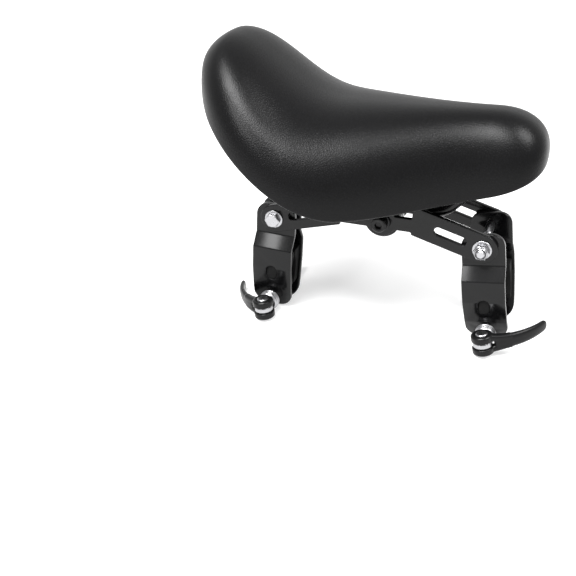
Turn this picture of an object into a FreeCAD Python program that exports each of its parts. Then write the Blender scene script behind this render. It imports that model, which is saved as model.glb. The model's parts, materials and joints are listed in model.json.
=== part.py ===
import FreeCAD, Part
import math
import os
from types import SimpleNamespace

import Sketcher
from FreeCAD import Placement, Rotation, Vector

# A child's saddle on a bracket that clamps round a bicycle's top tube.
# Two bowed side plates carry a clamp at each end and the saddle's rail clamp in the middle.
# Frame: +X forward (the saddle's nose), +Y to the rider's left, +Z up, in millimetres.
# Origin: on the axis of the top tube, midway between the two clamps.

doc = FreeCAD.newDocument("TopTubeSaddle")
sheet = doc.addObject("Spreadsheet::Sheet", "Sizes")

SIZES = (
    # Bracket
    ("bolt_pitch", 152, "clamp bolt to clamp bolt"),
    ("bolt_rise", 44, "clamp bolts above the tube's axis"),
    ("beam_plate", 3.5, "thickness of a side plate"),
    ("arm_width", 21, "width of a side plate's arm"),
    ("arm_angle", 15.5, "slope of an arm, degrees"),
    ("arm_reach", 50, "from a clamp bolt to the square end of its arm"),
    ("slot_width", 6, "width of an arm's slot"),
    ("slot_length", 24, "length of an arm's slot, end to end"),
    ("slot_distance", 23.5, "slot's centre from the clamp bolt, along the arm"),
    ("neck_rise", 2, "neck's lower edge above the arm's lower corner"),
    ("neck_height", 10, "height of the neck between the arms"),
    ("neck_corner", 1.5, "radius in the neck's corners"),
    ("boss_radius", 11, "round boss at the saddle bolt"),
    ("side_play", 0.2, "gap between faces that turn on each other"),
    # Cheeks
    ("cheek_gap", 35.6, "between the cheeks of an open clamp, at the bolt"),
    ("cheek_plate", 3.5, "thickness of a cheek"),
    ("cheek_width", 30, "width of a cheek, along the tube"),
    ("cheek_length", 74, "from the bolt down to a cheek's foot"),
    ("cheek_top", 9.5, "from the bolt up to a cheek's top"),
    ("crown_radius", 9, "round corners at a cheek's top"),
    ("foot_radius", 10.5, "round corners at a cheek's foot"),
    ("step_top", 13.8, "bolt to the upper bend"),
    ("step_bottom", 23.8, "bolt to the lower bend"),
    ("belly_drop", 40, "bolt to the bend below the belly"),
    ("knee_edge", 16, "last bend above a cheek's foot"),
    ("bulge", 7, "outward step of the belly"),
    ("bend_radius", 3, "outer radius of the bends"),
    ("front_knee", 5, "how far the front cheeks come in at the last bend"),
    ("front_tuck", 13, "how far the front cheeks come in at the foot"),
    ("rear_knee", 2.5, "how far the rear cheeks come in at the last bend"),
    ("rear_tuck", 7, "how far the rear cheeks come in at the foot"),
    ("front_swing", -8, "front clamp's turn about its bolt, degrees"),
    ("rear_swing", 2, "rear clamp's turn about its bolt, degrees"),
    ("rear_closing", 26, "how far the rear clamp's far cheek is drawn in"),
    # Rubber pads
    ("tube_radius", 17.5, "radius of the tube that the pads fit"),
    ("pad_wrap", 36, "half the angle that a pad covers, degrees"),
    ("pad_length", 26, "length of a pad along the tube"),
    ("pad_top", 30, "bolt to the top of a pad"),
    ("nub_width", 8.5, "width of the hole for a pad's nub"),
    ("nub_height", 12, "height of the hole for a pad's nub"),
    ("nub_play", 0.4, "gap round a pad's nub"),
    ("nub_recess", 0.6, "nub's end below the cheek's outer face"),
    # Fasteners
    ("bolt_radius", 3, "clamp bolts and saddle bolt"),
    ("hex_flats", 10, "across the flats of heads and nuts"),
    ("head_height", 4, "height of a bolt head"),
    ("nut_height", 5, "height of a nut's hexagon"),
    ("crown_height", 1.6, "height of a nut's locking crown"),
    ("nut_crown_radius", 4.4, "radius of a nut's locking crown"),
    ("bolt_tip", 1, "bolt beyond its nut"),
    ("washer_radius", 6.8, "outer radius of the washers"),
    ("washer_plate", 1.2, "thickness of the washers"),
    ("run_play", 0.06, "radial play of a shaft in its hole"),
    # Quick-release levers
    ("rod_radius", 2.5, "quick-release rod"),
    ("rod_edge", 7.5, "quick-release rod above a cheek's foot"),
    ("rod_play", 0.7, "radial play of the rod in the cheeks"),
    ("rod_bare", 5, "bare rod between cheek and cup"),
    ("rod_tip", 3.5, "rod beyond the far cheek and its nut's length"),
    ("cup_radius", 7.6, "outer radius of the cup washer"),
    ("cup_height", 6, "height of the cup washer"),
    ("cup_wall", 1.6, "rim of the cup washer"),
    ("pivot_radius", 3.6, "lever's pivot pin"),
    ("pivot_length", 16.4, "length of the pivot pin"),
    ("eye_radius", 6.8, "round eye on the pivot pin, between the ears"),
    ("head_radius", 7.8, "lever's round head"),
    ("head_width", 15, "width of the lever's head"),
    ("ear_gap", 6.2, "slot between the ears of the head"),
    ("lever_length", 52, "pivot to lever tip, along the curve"),
    ("lever_bend", 65, "how far the lever curves, degrees"),
    ("lever_root", 6.4, "thickness of the lever at its root"),
    ("lever_tip", 3.4, "thickness of the lever at its tip"),
    ("lever_waist", 11, "width of the lever at its root"),
    ("lever_end", 7.5, "width of the lever at its tip"),
    ("front_roll", -4, "front lever's turn about its rod, degrees"),
    ("rear_roll", -190, "rear lever's turn about its rod, degrees"),
    ("front_close", 2, "front lever's angle towards the cheek, degrees"),
    ("rear_close", 18, "rear lever's angle towards the cheek, degrees"),
    ("end_nut_radius", 7.5, "far nut of the rod"),
    ("end_nut_length", 14, "length of the far nut"),
    ("end_nut_nose", 1.2, "wall of the far nut at its nose"),
    ("end_nut_neck", 5.2, "radius of the far nut's waist"),
    ("end_nut_lip", 5.8, "radius of the far nut's outer end"),
    # Rail clamp
    ("saddle_bolt_x", 4, "saddle bolt ahead of the middle"),
    ("saddle_bolt_rise", 10, "saddle bolt above the clamp bolts"),
    ("cap_radius", 5.5, "round head of the saddle bolt"),
    ("cap_height", 6, "height of the saddle bolt's head"),
    ("key_flats", 5, "across the flats of the saddle bolt's socket"),
    ("key_depth", 3.2, "depth of the saddle bolt's socket"),
    ("rail_pitch", 30, "rail to rail"),
    ("rail_radius", 3.5, "saddle rail"),
    ("rail_rise", 8.5, "rails above the saddle bolt"),
    ("jaw_radius", 13, "round jaws of the rail clamp"),
    ("jaw_gap", 0.6, "between an inner and an outer jaw"),
    ("inner_jaw", 7, "thickness of an inner jaw"),
    ("spacer_radius", 8, "tube between the inner jaws"),
    # Rails
    ("rail_straight", 84, "straight run of a rail, corner to corner"),
    ("rail_bend", 20, "radius of a rail's bends"),
    ("rail_rear_run", 54, "rear run of a rail, along X"),
    ("rail_rear_drop", 6, "rear end of a rail below the seat"),
    ("rail_front_run", 34, "front run of a rail, along X"),
    ("rail_front_drop", 34, "front end of a rail below the seat"),
    ("socket_radius", 6.5, "sockets that hold the rails"),
    ("socket_depth", 14, "rail inside its socket"),
    ("socket_floor", 27, "socket beyond the rail's end"),
    # Saddle
    ("saddle_length", 239.6, "tail to nose"),
    ("tail_x", -130.2, "end of the tail, from the middle"),
    ("tail_width", 156.4, "width of the tail"),
    ("nose_width", 65.6, "width of the nose"),
    ("seat_height", 134.5, "seat above the tube's axis"),
    ("tail_lift", 38.6, "tail's crest above the seat"),
    ("nose_lift", 4.2, "nose above the seat"),
    ("rim_height", 69.2, "lowest point of the rim above the tube's axis"),
    ("rim_tail_lift", 72.2, "rim at the tail above its lowest point"),
    ("rim_nose_lift", 27, "rim at the nose above its lowest point"),
    ("foam_top", 16, "padding on top"),
    ("foam_side", 8, "padding at the sides"),
    ("pan_wall", 3, "wall of the base pan"),
    ("pan_play", 0.3, "gap between padding and base pan"),
)


class Size:
    """A size held both as a number and as the sheet expression that gives it."""

    def __init__(self, number, text):
        self.number = number
        self.text = text

    def __add__(self, other):
        other = as_size(other)
        return Size(self.number + other.number, f"({self.text} + {other.text})")

    def __sub__(self, other):
        other = as_size(other)
        return Size(self.number - other.number, f"({self.text} - {other.text})")

    def __mul__(self, other):
        other = as_size(other)
        return Size(self.number * other.number, f"({self.text} * {other.text})")

    def __truediv__(self, other):
        other = as_size(other)
        return Size(self.number / other.number, f"({self.text} / {other.text})")

    def __neg__(self):
        return Size(-self.number, f"(0 - {self.text})")


def as_size(thing):
    if isinstance(thing, Size):
        return thing
    return Size(float(thing), repr(float(thing)))


def sine(angle):
    return Size(math.sin(math.radians(angle.number)), f"sin({angle.text} * 1 deg)")


def cosine(angle):
    return Size(math.cos(math.radians(angle.number)), f"cos({angle.text} * 1 deg)")


for row, (alias, value, meaning) in enumerate(SIZES, start=1):
    sheet.set(f"A{row}", meaning)
    sheet.set(f"B{row}", str(value))
    sheet.setAlias(f"B{row}", alias)
doc.recompute()

size = SimpleNamespace(**{alias: Size(float(sheet.get(alias)), f"Sizes.{alias}") for alias, _, _ in SIZES})
ZERO = as_size(0)

# Places worked out once and shared by the pieces
half_pitch = size.bolt_pitch / 2
cheek_inner = size.cheek_gap / 2
beam_inner = cheek_inner + size.cheek_plate + size.side_play
beam_outer = beam_inner + size.beam_plate
saddle_bolt_z = size.bolt_rise + size.saddle_bolt_rise
rail_y = size.rail_pitch / 2
rail_z = saddle_bolt_z + size.rail_rise
outer_jaw = cheek_inner + size.cheek_plate - rail_y - size.jaw_gap / 2
stack = beam_outer + size.washer_plate
rod_drop = size.cheek_length - size.rod_edge
knee_drop = size.cheek_length - size.knee_edge

# How near two places have to be to count as the same
HAIR = 0.01
# Corners of a hexagon
HEX_CORNERS = 6

pieces = []


def bind(thing, prop, amount):
    thing.setExpression(prop, as_size(amount).text)


def finished(thing, label):
    """Names a sub-part and adds it to the list of pieces that are written."""
    thing.Label = label
    pieces.append(thing)
    return thing


def place(thing, x=ZERO, y=ZERO, z=ZERO, axis=(0, 1, 0), angle=ZERO):
    """Puts a piece at x, y, z, turned about an axis by an angle in degrees."""
    base = Vector(x.number, y.number, z.number)
    thing.Placement = Placement(base, Rotation(Vector(*axis), angle.number))
    for letter, amount in (("x", x), ("y", y), ("z", z)):
        bind(thing, f"Placement.Base.{letter}", amount)
    if angle is not ZERO:
        thing.setExpression("Placement.Rotation.Angle", f"{angle.text} * 1 deg")


# Sketch helpers


def new_body(label):
    return finished(doc.addObject("PartDesign::Body", "Body_" + label), label)


def new_sketch(body, name, role, offset=ZERO):
    """A sketch on one of the body's own planes, moved along the plane's normal."""
    plane = next(feature for feature in body.Origin.OriginFeatures if feature.Role == role)
    sketch = body.newObject("Sketcher::SketchObject", name)
    sketch.AttachmentSupport = (plane, [""])
    sketch.MapMode = "FlatFace"
    sketch.AttachmentOffset = Placement(Vector(0, 0, offset.number), Rotation())
    bind(sketch, "AttachmentOffset.Base.z", offset)
    return sketch


def pin_point(sketch, edge, end, across, up):
    for kind, amount in (("DistanceX", across), ("DistanceY", up)):
        index = sketch.addConstraint(Sketcher.Constraint(kind, -1, 1, edge, end, amount.number))
        sketch.setExpression(f"Constraints[{index}]", amount.text)


def fix_radius(sketch, edge, radius):
    index = sketch.addConstraint(Sketcher.Constraint("Radius", edge, radius.number))
    sketch.setExpression(f"Constraints[{index}]", radius.text)


def add_outline(sketch, corners):
    """A closed straight-sided outline; each corner is a pair of sizes from the sketch's origin."""
    first = sketch.GeometryCount
    points = [Vector(across.number, up.number, 0) for across, up in corners]
    for here, there in zip(points, points[1:] + points[:1]):
        sketch.addGeometry(Part.LineSegment(here, there))
    for index, (across, up) in enumerate(corners):
        following = first + (index + 1) % len(corners)
        sketch.addConstraint(Sketcher.Constraint("Coincident", first + index, 2, following, 1))
        pin_point(sketch, first + index, 1, across, up)


def add_circle(sketch, across, up, radius):
    centre = Vector(across.number, up.number, 0)
    edge = sketch.addGeometry(Part.Circle(centre, Vector(0, 0, 1), radius.number))
    pin_point(sketch, edge, 3, across, up)
    fix_radius(sketch, edge, radius)


def add_slot(sketch, start, end, radius):
    """A round-ended slot between two centres, each a pair of sizes."""
    first = Vector(start[0].number, start[1].number, 0)
    last = Vector(end[0].number, end[1].number, 0)
    along = math.atan2(last.y - first.y, last.x - first.x)
    side = Vector(-math.sin(along), math.cos(along), 0) * radius.number
    quarter = math.pi / 2
    first_circle = Part.Circle(first, Vector(0, 0, 1), radius.number)
    last_circle = Part.Circle(last, Vector(0, 0, 1), radius.number)
    near = sketch.addGeometry(Part.ArcOfCircle(first_circle, along + quarter, along - quarter))
    low = sketch.addGeometry(Part.LineSegment(first - side, last - side))
    far = sketch.addGeometry(Part.ArcOfCircle(last_circle, along - quarter, along + quarter))
    high = sketch.addGeometry(Part.LineSegment(last + side, first + side))
    for joint in ((near, 2, low, 1), (low, 2, far, 1), (far, 2, high, 1), (high, 2, near, 1)):
        sketch.addConstraint(Sketcher.Constraint("Tangent", *joint))
    pin_point(sketch, near, 3, *start)
    pin_point(sketch, far, 3, *end)
    fix_radius(sketch, near, radius)


def add_corner(sketch, x, z, radius, over):
    """The waste outside a round corner at x, z; over is how far it reaches past the edges."""
    across = 1 if x.number > 0 else -1
    up = 1 if z.number > 0 else -1
    corners = [
        (x, z - radius * up),
        (x + over * across, z - radius * up),
        (x + over * across, z + over * up),
        (x - radius * across, z + over * up),
        (x - radius * across, z),
    ]
    points = [Vector(a.number, b.number, 0) for a, b in corners]
    edges = [sketch.addGeometry(Part.LineSegment(a, b)) for a, b in zip(points, points[1:])]
    hub = Vector(points[-1].x, points[0].y, 0)
    quarter = math.pi / 2
    begins = {(1, 1): 0, (-1, 1): 1, (-1, -1): 2, (1, -1): 3}[(across, up)] * quarter
    circle = Part.Circle(hub, Vector(0, 0, 1), radius.number)
    arc = sketch.addGeometry(Part.ArcOfCircle(circle, begins, begins + quarter))
    first, last = (1, 2) if across * up < 0 else (2, 1)
    for before, after in zip(edges, edges[1:]):
        sketch.addConstraint(Sketcher.Constraint("Coincident", before, 2, after, 1))
    sketch.addConstraint(Sketcher.Constraint("Coincident", edges[-1], 2, arc, first))
    sketch.addConstraint(Sketcher.Constraint("Coincident", arc, last, edges[0], 1))
    for edge, (a, b) in zip(edges, corners):
        pin_point(sketch, edge, 1, a, b)
    pin_point(sketch, edges[-1], 2, *corners[-1])
    fix_radius(sketch, arc, radius)


# Feature helpers


def add_pad(body, sketch, name, length, reverse=False):
    feature = body.newObject("PartDesign::Pad", name)
    feature.Profile = sketch
    feature.Length = length.number
    bind(feature, "Length", length)
    feature.Reversed = reverse
    doc.recompute()
    return feature


def cut_through(body, sketch, name, reverse=False):
    """A pocket through everything on one side of the sketch; it has to take something away."""
    doc.recompute()
    before = body.Shape.Volume
    feature = body.newObject("PartDesign::Pocket", name)
    feature.Profile = sketch
    feature.Type = "ThroughAll"
    feature.Reversed = reverse
    doc.recompute()
    if body.Shape.Volume > before - HAIR:
        raise RuntimeError(f"{name} cuts nothing")
    return feature


def round_edges(body, name, radius, wanted):
    """A fillet on each edge of the body that wanted(edge) accepts."""
    doc.recompute()
    base = body.Tip
    names = [f"Edge{i}" for i, edge in enumerate(base.Shape.Edges, start=1) if wanted(edge)]
    feature = body.newObject("PartDesign::Fillet", name)
    feature.Base = (base, names)
    feature.Radius = radius.number
    bind(feature, "Radius", radius)
    doc.recompute()
    return feature


def lies_at(edge, **wanted):
    """True when both ends of an edge have the wanted coordinates, such as x=3.0."""
    for vertex in edge.Vertexes:
        for letter, amount in wanted.items():
            if abs(getattr(vertex.Point, letter) - amount) > HAIR:
                return False
    return True


# Part helpers for turned and hexagonal pieces, along +Y from a start


def round_bar(name, radius, length, x, y, z):
    bar = doc.addObject("Part::Cylinder", name)
    bind(bar, "Radius", radius)
    bind(bar, "Height", length)
    place(bar, x, y, z, axis=(1, 0, 0), angle=as_size(-90))
    return bar


def hex_bar(name, flats, length, x, y, z):
    bar = doc.addObject("Part::Prism", name)
    bar.Polygon = HEX_CORNERS
    bind(bar, "Circumradius", flats / 2 / math.cos(math.pi / HEX_CORNERS))
    bind(bar, "Height", length)
    place(bar, x, y, z, axis=(1, 0, 0), angle=as_size(-90))
    return bar


def joined(name, shapes):
    fuse = doc.addObject("Part::MultiFuse", name)
    fuse.Shapes = shapes
    return fuse


def taken_from(name, base, tool):
    cut = doc.addObject("Part::Cut", name)
    cut.Base = base
    cut.Tool = tool
    return cut


# Side plates


def beam(label, face):
    """One bowed side plate; face is the sketch plane's distance towards -Y."""
    body = new_body(label)
    base = size.bolt_rise
    half = size.arm_width / 2
    sin_a = sine(size.arm_angle)
    cos_a = cosine(size.arm_angle)
    square_x = half_pitch - size.arm_reach
    climb = size.arm_reach * sin_a / cos_a
    top = base + half / cos_a + climb
    low = base - half / cos_a + climb
    neck_low = low + size.neck_rise
    neck_top = neck_low + size.neck_height
    ahead = [
        (half_pitch - half * sin_a, base - half * cos_a),
        (square_x, low),
        (square_x, neck_low),
    ]
    above = [
        (square_x, neck_top),
        (square_x, top),
        (half_pitch + half * sin_a, base + half * cos_a),
    ]
    behind = [(-x, z) for x, z in reversed(ahead)]
    above_behind = [(-x, z) for x, z in reversed(above)]
    plate = new_sketch(body, label + "_outline", "XZ_Plane", face)
    add_outline(plate, ahead + behind + above_behind + above)
    add_pad(body, plate, label + "_plate", size.beam_plate, reverse=True)
    rounds = new_sketch(body, label + "_rounds", "XZ_Plane", face)
    holes = new_sketch(body, label + "_holes", "XZ_Plane", face)
    hole = size.bolt_radius + size.run_play
    for x in (half_pitch, -half_pitch):
        add_circle(rounds, x, base, half)
        add_circle(holes, x, base, hole)
    add_circle(rounds, size.saddle_bolt_x, saddle_bolt_z, size.boss_radius)
    add_circle(holes, size.saddle_bolt_x, saddle_bolt_z, hole)
    reach = (size.slot_length - size.slot_width) / 2
    ends = [size.slot_distance - reach, size.slot_distance + reach]
    for side in (1, -1):
        start, end = [((half_pitch - d * cos_a) * side, base + d * sin_a) for d in ends]
        add_slot(holes, start, end, size.slot_width / 2)
    add_pad(body, rounds, label + "_round_ends", size.beam_plate, reverse=True)
    cut_through(body, holes, label + "_holes_and_slots")
    neck_corners = [(side * square_x.number, z.number) for side in (1, -1) for z in (neck_low, neck_top)]

    def in_neck(edge):
        return any(lies_at(edge, x=x, z=z) for x, z in neck_corners)

    round_edges(body, label + "_neck_corners", size.neck_corner, in_neck)


# Clamps


def clamp_place(thing, clamp, shift=ZERO):
    """Hangs a piece drawn about the bolt's axis on that bolt, turned with its clamp."""
    place(thing, clamp.bolt_x, shift, size.bolt_rise, angle=clamp.swing)


def belly_line(clamp):
    """Inner face of a cheek: pairs of distance from the middle and height, from top to foot."""
    out = cheek_inner + size.bulge
    return [
        (cheek_inner, size.cheek_top),
        (cheek_inner, -size.step_top),
        (out, -size.step_bottom),
        (out, -size.belly_drop),
        (out - clamp.knee, -knee_drop),
        (out - clamp.tuck, -size.cheek_length),
    ]


def nub_ends(play):
    """Centres and radius of the upright oblong for a pad's nub."""
    radius = size.nub_width / 2 - play
    reach = (size.nub_height - size.nub_width) / 2
    return (ZERO, reach - size.bolt_rise), (ZERO, -reach - size.bolt_rise), radius


def cheek(label, clamp, side, shift=ZERO):
    """A bent clamp plate: flat at the bolt, stepped out to a belly and drawn in at the foot."""
    body = new_body(label)
    clamp_place(body, clamp, shift)
    inner = [(y * side, z) for y, z in belly_line(clamp)]
    outer = [(y + size.cheek_plate * side, z) for y, z in reversed(inner)]
    profile = new_sketch(body, label + "_profile", "YZ_Plane", -size.cheek_width / 2)
    add_outline(profile, inner + outer)
    add_pad(body, profile, label + "_bent_plate", size.cheek_width)

    def at_bend(edge):
        heights = [z.number for _, z in belly_line(clamp)[1:-1]]
        crosses = abs(edge.Vertexes[0].X - edge.Vertexes[-1].X) > size.cheek_width.number - HAIR
        return crosses and any(lies_at(edge, z=z) for z in heights)

    round_edges(body, label + "_bends", size.bend_radius, at_bend)
    start = ZERO
    if side < 0:
        start = cheek_inner + size.bulge + size.cheek_plate * 2
    waste = new_sketch(body, label + "_corners", "XZ_Plane", start)
    for x in (size.cheek_width / 2, -size.cheek_width / 2):
        add_corner(waste, x, size.cheek_top, size.crown_radius, size.cheek_plate)
        add_corner(waste, x, -size.cheek_length, size.foot_radius, size.cheek_plate)
    cut_through(body, waste, label + "_rounded")
    holes = new_sketch(body, label + "_holes", "XZ_Plane", start)
    add_circle(holes, ZERO, ZERO, size.bolt_radius + size.run_play)
    add_slot(holes, *nub_ends(ZERO))
    add_circle(holes, ZERO, -rod_drop, size.rod_radius + size.rod_play)
    cut_through(body, holes, label + "_bored")


def tube_pad(label, clamp, side, shift=ZERO):
    """A rubber pad that fills a cheek's belly, hollowed to the tube, with a nub through the cheek."""
    body = new_body(label)
    clamp_place(body, clamp, shift)
    out = cheek_inner + size.bulge
    face = size.tube_radius * cosine(size.pad_wrap)
    low = out - clamp.knee
    corners = [
        (face, -size.pad_top),
        (out, -size.pad_top),
        (out, -size.belly_drop),
        (low, -knee_drop),
        (face, -knee_drop),
    ]
    profile = new_sketch(body, label + "_profile", "YZ_Plane", -size.pad_length / 2)
    add_outline(profile, [(y * side, z) for y, z in corners])
    add_pad(body, profile, label + "_block", size.pad_length)
    nub = new_sketch(body, label + "_nub_outline", "XZ_Plane", low * -side)
    add_slot(nub, *nub_ends(size.nub_play))
    add_pad(body, nub, label + "_nub", clamp.nub_reach, reverse=side > 0)
    hollow = new_sketch(body, label + "_hollow", "YZ_Plane", -size.pad_length / 2)
    add_circle(hollow, ZERO, -size.bolt_rise, size.tube_radius)
    cut_through(body, hollow, label + "_hollowed", reverse=True)


# Bolts across the bracket: side is -1 for the right and 1 for the left


def washer_pair(name, x, z):
    """A washer on the outside of each side plate."""
    discs = []
    for side, start in (("right", -stack), ("left", beam_outer)):
        discs.append(round_bar(f"{name}_disc_{side}", size.washer_radius, size.washer_plate, x, start, z))
    eye = round_bar(name + "_washer_eye", size.bolt_radius + size.run_play, stack * 2, x, -stack, z)
    finished(taken_from(name + "_washer_cut", joined(name + "_discs", discs), eye), name + "_washers")


def lock_nut(name, x, z, side):
    """A hexagon nut with a round locking crown."""
    nut = size.nut_height + size.crown_height
    start = stack if side > 0 else -stack - size.nut_height
    crown_start = start + size.nut_height if side > 0 else start - size.crown_height
    hexagon = hex_bar(name + "_hexagon", size.hex_flats, size.nut_height, x, start, z)
    crown = round_bar(name + "_crown", size.nut_crown_radius, size.crown_height, x, crown_start, z)
    bore = round_bar(name + "_nut_bore", size.bolt_radius + size.run_play, nut * 3, x, start - nut, z)
    blank = joined(name + "_nut_blank", [hexagon, crown])
    finished(taken_from(name + "_nut_cut", blank, bore), name + "_nut")


def shank(name, x, z, head_side):
    tip = stack + size.nut_height + size.crown_height + size.bolt_tip
    start = -tip if head_side > 0 else -stack
    return round_bar(name + "_shank", size.bolt_radius, tip + stack, x, start, z)


def hexagon_bolt(name, x, z, head_side):
    start = stack if head_side > 0 else -stack - size.head_height
    head = hex_bar(name + "_head", size.hex_flats, size.head_height, x, start, z)
    finished(joined(name + "_fused", [shank(name, x, z, head_side), head]), name + "_bolt")


def cap_screw(name, x, z):
    """A screw with a round head on the right, sunk for a hexagon key."""
    start = -stack - size.cap_height
    head = round_bar(name + "_head", size.cap_radius, size.cap_height, x, start, z)
    blank = joined(name + "_fused", [shank(name, x, z, -1), head])
    key = hex_bar(name + "_key", size.key_flats, size.key_depth * 2, x, start - size.key_depth, z)
    finished(taken_from(name + "_sunk", blank, key), name + "_bolt")


# Quick-release levers
# The far nut's waist in quarters of its length, and the sections along a lever's arm

NUT_WAIST_START, NUT_WAIST_END = 1.6, 2.6
LEVER_STATIONS = 5


def rod_place(thing, clamp, y):
    """Puts a piece on the quick-release rod's axis, turned with its clamp and about the rod."""
    x = clamp.bolt_x - rod_drop * sine(clamp.swing)
    z = size.bolt_rise - rod_drop * cosine(clamp.swing)
    place(thing, x, y, z, angle=clamp.swing + clamp.roll)


def turned(label, corners):
    """A piece turned about its own Y axis from pairs of radius and place along Y."""
    body = new_body(label)
    profile = new_sketch(body, label + "_profile", "XY_Plane")
    add_outline(profile, corners)
    turn = body.newObject("PartDesign::Revolution", label + "_turned")
    turn.Profile = profile
    turn.ReferenceAxis = (profile, ["V_Axis"])
    turn.Angle = 360
    doc.recompute()
    return body


def cup_washer(label, clamp):
    """The cup that the lever's head bears on, hollow towards the cheek."""
    bore = size.rod_radius + size.run_play
    rim = size.cup_radius - size.cup_wall
    body = turned(label, [
        (bore, size.cup_wall),
        (bore, size.cup_height / 2),
        (rim, size.cup_height),
        (size.cup_radius, size.cup_height),
        (size.cup_radius, size.cup_wall),
        (size.cup_radius - size.cup_wall, ZERO),
        (size.cup_radius - size.cup_wall * 2, ZERO),
        (size.cup_radius - size.cup_wall * 2, size.cup_wall),
    ])
    rod_place(body, clamp, clamp.pivot_y + size.head_radius + size.side_play)


def end_nut(label, clamp, shift=ZERO):
    """The thumb nut on the rod's far end: a nose coned to the cheek's slope, a bead and a waist."""
    bore = size.rod_radius + size.run_play
    nose = bore + size.end_nut_nose
    cone = (size.end_nut_radius - nose) * clamp.slope
    bead = size.end_nut_length / 4
    waist = bead * NUT_WAIST_START
    lip = bead * NUT_WAIST_END
    body = turned(label, [
        (bore, ZERO),
        (nose, ZERO),
        (size.end_nut_radius, cone),
        (size.end_nut_radius, bead),
        (size.end_nut_neck, waist),
        (size.end_nut_neck, lip),
        (size.end_nut_lip, size.end_nut_length),
        (bore, size.end_nut_length),
    ])
    rod_place(body, clamp, clamp.far_face + nose * clamp.slope + shift)


def lever_pivot(label, clamp):
    """The cross pin in the lever's head, with a round eye bored for the rod's end."""
    body = new_body(label)
    end = new_sketch(body, label + "_end", "XY_Plane", -size.pivot_length / 2)
    add_circle(end, ZERO, ZERO, size.pivot_radius)
    add_pad(body, end, label + "_pin", size.pivot_length)
    eye_width = size.ear_gap - size.side_play * 2
    eye = new_sketch(body, label + "_eye_outline", "XY_Plane", -eye_width / 2)
    add_circle(eye, ZERO, ZERO, size.eye_radius)
    add_pad(body, eye, label + "_eye", eye_width)
    bore = new_sketch(body, label + "_bore", "XZ_Plane", size.eye_radius * 2)
    add_circle(bore, ZERO, ZERO, size.rod_radius + size.run_play)
    cut_through(body, bore, label + "_bored")
    rod_place(body, clamp, clamp.pivot_y)


def lever(label, clamp):
    """A forked head round the pivot and a curved arm that tapers to its tip."""
    body = new_body(label)
    head = new_sketch(body, label + "_head_outline", "XY_Plane", -size.head_width / 2)
    add_circle(head, ZERO, ZERO, size.head_radius)
    add_pad(body, head, label + "_head", size.head_width)
    sections = []
    for step in range(LEVER_STATIONS):
        share = step / (LEVER_STATIONS - 1)
        turn = size.lever_bend * share + clamp.close
        chord = size.lever_bend * (share / 2) + clamp.close
        # A curve of even bend: the chord to a station turns half as far as the curve does.
        bend = max(share, HAIR) * math.radians(size.lever_bend.number) / 2
        reach = size.lever_length * (share * math.sin(bend) / bend)
        thick = (size.lever_root + (size.lever_tip - size.lever_root) * share) / 2
        wide = (size.lever_waist + (size.lever_end - size.lever_waist) * share * share) / 2
        section = new_sketch(body, f"{label}_section_{step}", "YZ_Plane")
        centre = Vector((reach * cosine(chord)).number, (reach * sine(chord)).number, 0)
        section.MapMode = "Deactivated"
        upright = Rotation(Vector(0, 0, 1), turn.number).multiply(section.Placement.Rotation)
        section.Placement = Placement(centre, upright)
        bind(section, "Placement.Base.x", reach * cosine(chord))
        bind(section, "Placement.Base.y", reach * sine(chord))
        add_outline(section, [(thick, wide), (-thick, wide), (-thick, -wide), (thick, -wide)])
        sections.append(section)
    arm = body.newObject("PartDesign::AdditiveLoft", label + "_arm")
    arm.Profile = sections[0]
    arm.Sections = sections[1:]
    doc.recompute()
    bore = new_sketch(body, label + "_bore", "XY_Plane", -size.head_width)
    add_circle(bore, ZERO, ZERO, size.pivot_radius + size.run_play)
    cut_through(body, bore, label + "_bored", reverse=True)
    fork = new_sketch(body, label + "_fork", "XZ_Plane", size.head_radius * 2)
    gap = size.ear_gap / 2
    root = size.eye_radius + size.rod_play
    past = -size.head_radius * 2
    add_outline(fork, [(root, gap), (past, gap), (past, -gap), (root, -gap)])
    cut_through(body, fork, label + "_forked")
    rod_place(body, clamp, clamp.pivot_y)


def rod(label, clamp, end):
    """The quick-release rod, from inside the pivot pin to beyond the far nut."""
    start = clamp.pivot_y - size.rod_radius
    bar = round_bar(label + "_bar", size.rod_radius, end - start, ZERO, start, ZERO)
    bind(bar, "Placement.Base.x", clamp.bolt_x - rod_drop * sine(clamp.swing))
    bind(bar, "Placement.Base.z", size.bolt_rise - rod_drop * cosine(clamp.swing))
    finished(bar, label)


# Rail clamp and rails


def rail_jaw(label, start, thickness):
    """A round jaw on the saddle bolt with half of the rail's groove in its face."""
    x = size.saddle_bolt_x
    disc = round_bar(label + "_disc", size.jaw_radius, thickness, x, start, saddle_bolt_z)
    hole = size.bolt_radius + size.run_play
    eye = round_bar(label + "_eye", hole, thickness * 3, x, start - thickness, saddle_bolt_z)
    side = 1 if start.number + thickness.number / 2 > 0 else -1
    groove = doc.addObject("Part::Cylinder", label + "_groove")
    bind(groove, "Radius", size.rail_radius + size.run_play)
    bind(groove, "Height", size.jaw_radius * 4)
    place(groove, x - size.jaw_radius * 2, rail_y * side, rail_z, axis=(0, 1, 0), angle=as_size(90))
    finished(taken_from(label + "_cut", disc, joined(label + "_tools", [eye, groove])), label)


def rail_route():
    """A rail's corners in the X-Z plane, rear end first, and the straight runs and bends between them."""
    middle = size.saddle_bolt_x.number
    half = size.rail_straight.number / 2
    level = rail_z.number
    rear = Vector(middle - half, 0, level)
    front = Vector(middle + half, 0, level)
    seat = size.seat_height.number
    tail_end = Vector(rear.x - size.rail_rear_run.number, 0, seat - size.rail_rear_drop.number)
    nose_end = Vector(front.x + size.rail_front_run.number, 0, seat - size.rail_front_drop.number)
    return [tail_end, rear, front, nose_end]


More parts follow.
